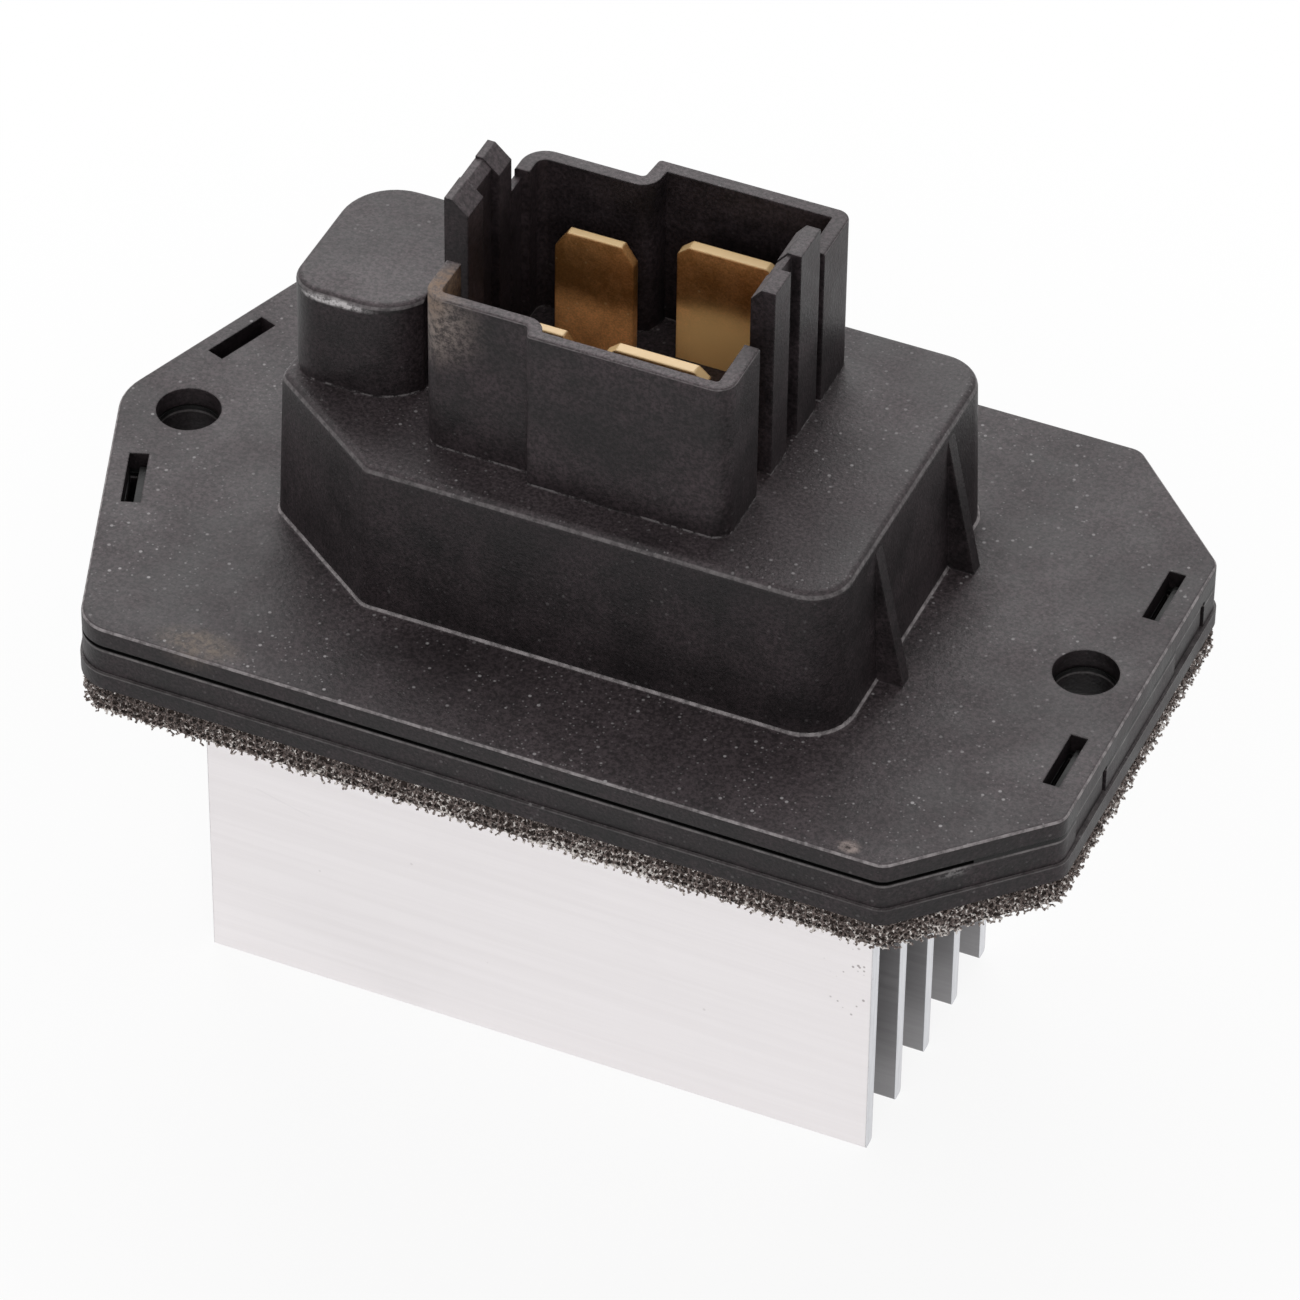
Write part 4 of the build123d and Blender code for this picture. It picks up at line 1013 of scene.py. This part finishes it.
def coreLoops(spacing, rim):
    halfX, halfY = gasket["windowHalf"]
    middle, radius = gasket["windowCentre"], gasket["windowRadius"]
    corners = [((middle + sx * halfX) / mm, sy * halfY / mm, radius / mm)
               for sx, sy in ((-1, -1), (1, -1), (1, 1), (-1, 1))]
    window = roundedOutline(corners, gasket["windowSteps"])
    loops = [pointsAlong(plateLoop, spacing, 0.5, rim), pointsAlong(window, spacing)]
    steps, holeRadius = gasket["holeSteps"], gasket["holeRadius"]
    angles = np.arange(steps) * 2 * math.pi / steps
    for x, y in gasket["holes"]:
        ring = (x + holeRadius * np.cos(angles), y + holeRadius * np.sin(angles))
        loops.append(np.stack(ring, axis=1))
    return loops


def closedSlab(flat, triangles, top, under):
    # a top, an underside and the walls between them
    points = np.concatenate((np.column_stack((flat, top)), np.column_stack((flat, under))))
    count = len(flat)
    sides = [triangles[:, pair] for pair in ((0, 1), (1, 2), (2, 0))]
    keys = {tuple(edge) for edge in np.concatenate(sides).tolist()}
    rims = np.array([edge for edge in keys if (edge[1], edge[0]) not in keys])
    walls = np.concatenate((
        np.column_stack((rims[:, 1], rims[:, 0], rims[:, 0] + count)),
        np.column_stack((rims[:, 1], rims[:, 0] + count, rims[:, 1] + count)),
    ))
    return points, np.concatenate((triangles, triangles[:, ::-1] + count, walls))


def foamCore(look):
    # the dense middle of the gasket, with its lower outer corner taken off
    spacing = look["coreSpacing"]
    rim = look["core"] + gasket["inset"]
    random = np.random.default_rng(look["seed"] + 2)
    low, high = plateLoop.min(axis=0), plateLoop.max(axis=0)
    xs = np.arange(low[0], high[0], spacing)
    ys = np.arange(low[1], high[1], spacing)
    inner = np.stack(np.meshgrid(xs, ys, indexing="ij"), axis=-1).reshape(-1, 2)
    jitter = look["coreJitter"]
    inner = inner + random.uniform(-jitter, jitter, inner.shape) * spacing
    inner = inner[insideCore(inner, rim, look["coreMargin"])]
    flat = np.concatenate([*coreLoops(spacing, rim), inner])
    flatPoints = [Vector(p) for p in flat.tolist()]
    found = geometry.delaunay_2d_cdt(flatPoints, [], [], 0, tiny)
    flat = np.array([(v.x, v.y) for v in found[0]])
    triangles = np.array([f for f in found[2] if len(f) == 3])
    triangles = triangles[insideCore(flat[triangles].mean(axis=1), rim, 0.0)]
    wobble = random.uniform(-look["coreWobble"], look["coreWobble"], len(flat)) * mm
    under = -gasket["thickness"] + look["coreLift"] + wobble
    atCorner = depthInside(flat, plateLoop) < rim + look["cornerReach"]
    under = np.where(atCorner, look["cornerLevel"], under)
    return closedSlab(flat, triangles, np.full(len(flat), gasket["top"]), under)


def makeStrutPaint(look):
    material, tree, shader = freshMaterial("foamStruts")
    coords = objectCoords(tree)
    tone = noise(tree, coords, look["fibreTone"], detail=2.0, rough=0.6)
    drift = noise(tree, coords, look["fibreDrift"], detail=2.0)
    mixed = calc(tree, "MULTIPLY_ADD", drift, look["fibreDriftShare"],
                 times(tree, tone, look["fibreShare"]))
    # painted light towards the lower edge, and painted glints in the pale tone
    lightBelow = spread(tree, axisPart(tree, coords, 2), *look["lowerEdge"])
    mixed = calc(tree, "ADD", mixed, lightBelow)
    colour = blend(tree, spread(tree, mixed, *look["middleRange"]), look["dark"], look["middle"])
    colour = blend(tree, spread(tree, mixed, *look["paleRange"]), colour, look["pale"])
    rough = spread(tree, tone, *noiseRange, *look["roughness"])
    connect(tree, shader, colour=colour, roughness=rough, specular=look["specular"],
            sheen=look["sheen"], sheenRough=look["sheenRough"])
    return material


def makeCorePaint(look):
    material, tree, shader = freshMaterial("foamCore")
    coords = objectCoords(tree)
    pores = addNode(tree, "TexVoronoi", {"Vector": coords, "Scale": 1.0 / look["cell"]},
                    feature="DISTANCE_TO_EDGE")
    ridge = spread(tree, pores.outputs["Distance"], *look["poreWall"], 1.0, 0.0)
    fine = noise(tree, coords, look["poreGrain"], rough=0.6)
    ridge = times(tree, ridge, spread(tree, fine, *look["poreRange"]))
    # painted glints on the tips of the pore walls
    tips = times(tree, ridge, spread(tree, fine, *look["poreTips"]))
    colour = blend(tree, ridge, look["coreTone"], look["middle"])
    colour = blend(tree, tips, colour, look["pale"])
    height = calc(tree, "MULTIPLY_ADD", fine, look["poreGrainHeight"], ridge)
    surface = bump(tree, height, look["poreDepth"], look["poreStrength"])
    rough = spread(tree, fine, *noiseRange, *look["coreRoughness"])
    connect(tree, shader, colour=colour, normal=surface, roughness=rough,
            specular=look["coreSpecular"])
    return material


def makeFoam(look):
    strutPoints, strutFaces = openCells(look)
    corePoints, coreFaces = foamCore(look)
    points = np.concatenate((strutPoints, corePoints))
    faces = np.concatenate((strutFaces, coreFaces + len(strutPoints)))
    mesh = bpy.data.meshes.new("foamGasket")
    mesh.from_pydata(points.tolist(), [], faces.tolist())
    mesh.materials.append(makeStrutPaint(look))
    mesh.materials.append(makeCorePaint(look))
    slots = np.repeat(np.array((0, 1), np.int32), (len(strutFaces), len(coreFaces)))
    mesh.polygons.foreach_set("material_index", slots)
    mesh.polygons.foreach_set("use_smooth", np.ones(len(faces), bool))
    mesh.update()
    foam = bpy.data.objects.new("foamGasket", mesh)
    bpy.context.scene.collection.objects.link(foam)
    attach(foam, "root")
    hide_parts("foam_gasket")
    print("foam faces", len(faces))


makeFoam(foamLook)

print("stage 6: parts inside the housing")

insideLooks = {
    # colour, second colour, metallic, roughness range, blotch size and bump depth in millimetres
    "laminate": ((0.03, 0.16, 0.07), (0.045, 0.21, 0.10), 0.0, (0.30, 0.42), 1.4, 0.01),
    "mouldedCase": ((0.022, 0.021, 0.022), (0.040, 0.038, 0.038), 0.0, (0.50, 0.66), 0.3, 0.012),
    "tinnedLead": ((0.62, 0.61, 0.59), (0.78, 0.77, 0.75), 1.0, (0.26, 0.44), 0.5, 0.006),
    "siliconePad": ((0.42, 0.45, 0.49), (0.52, 0.55, 0.58), 0.0, (0.62, 0.78), 0.8, 0.010),
    "zincPlate": ((0.60, 0.59, 0.54), (0.76, 0.75, 0.70), 1.0, (0.24, 0.40), 0.7, 0.005),
    "canSleeve": ((0.045, 0.045, 0.075), (0.070, 0.070, 0.105), 0.0, (0.28, 0.38), 2.0, 0.008),
    "rubberSeal": ((0.022, 0.022, 0.022), (0.038, 0.038, 0.038), 0.0, (0.6, 0.75), 0.4, 0.012),
    "ceramicBody": ((0.030, 0.030, 0.038), (0.055, 0.055, 0.062), 0.0, (0.2, 0.34), 0.5, 0.004),
    "solderTin": ((0.58, 0.58, 0.60), (0.74, 0.74, 0.75), 1.0, (0.18, 0.34), 0.4, 0.010),
}
insideNodes = {
    "laminate": ["circuit_board"],
    "mouldedCase": ["transistor_body", "control_chip", "protection_diode"],
    "tinnedLead": ["transistor_leadframe", "control_chip_leads", "capacitor_leads"],
    "siliconePad": ["transistor_pad"],
    "zincPlate": ["transistor_screw", "transistor_washer"],
    "canSleeve": ["capacitor_can"],
    "rubberSeal": ["capacitor_seal"],
    "ceramicBody": ["chip_resistors", "sense_resistor"],
    "solderTin": ["solder_joints"],
}
insideShared = {
    "grain": 0.12 * mm,
    "grainShare": 0.5,
    "bumpStrength": 0.5,
    "edgeRound": 0.06 * mm,
    "edgeSamples": 4,
}


def makeInside(name, first, second, metallic, roughness, blotch, depth):
    material, tree, shader = freshMaterial(name)
    coords = objectCoords(tree)
    patches = noise(tree, coords, blotch * mm, detail=4.0, rough=0.6)
    colour = blend(tree, spread(tree, patches, *noiseRange), first, second)
    rough = spread(tree, patches, *noiseRange, *roughness)
    fine = noise(tree, coords, insideShared["grain"], detail=2.0)
    height = calc(tree, "MULTIPLY_ADD", fine, insideShared["grainShare"], patches)
    rounded = roundedNormal(tree, insideShared["edgeRound"], insideShared["edgeSamples"])
    surface = bump(tree, height, depth * mm, insideShared["bumpStrength"], over=rounded)
    connect(tree, shader, colour=colour, roughness=rough, normal=surface, metallic=metallic)
    return material


for finishName, insideLook in insideLooks.items():
    insideMaterial = makeInside(finishName, *insideLook)
    for nodeName in insideNodes[finishName]:
        paint(nodeName, insideMaterial)


print("stage 7: done")
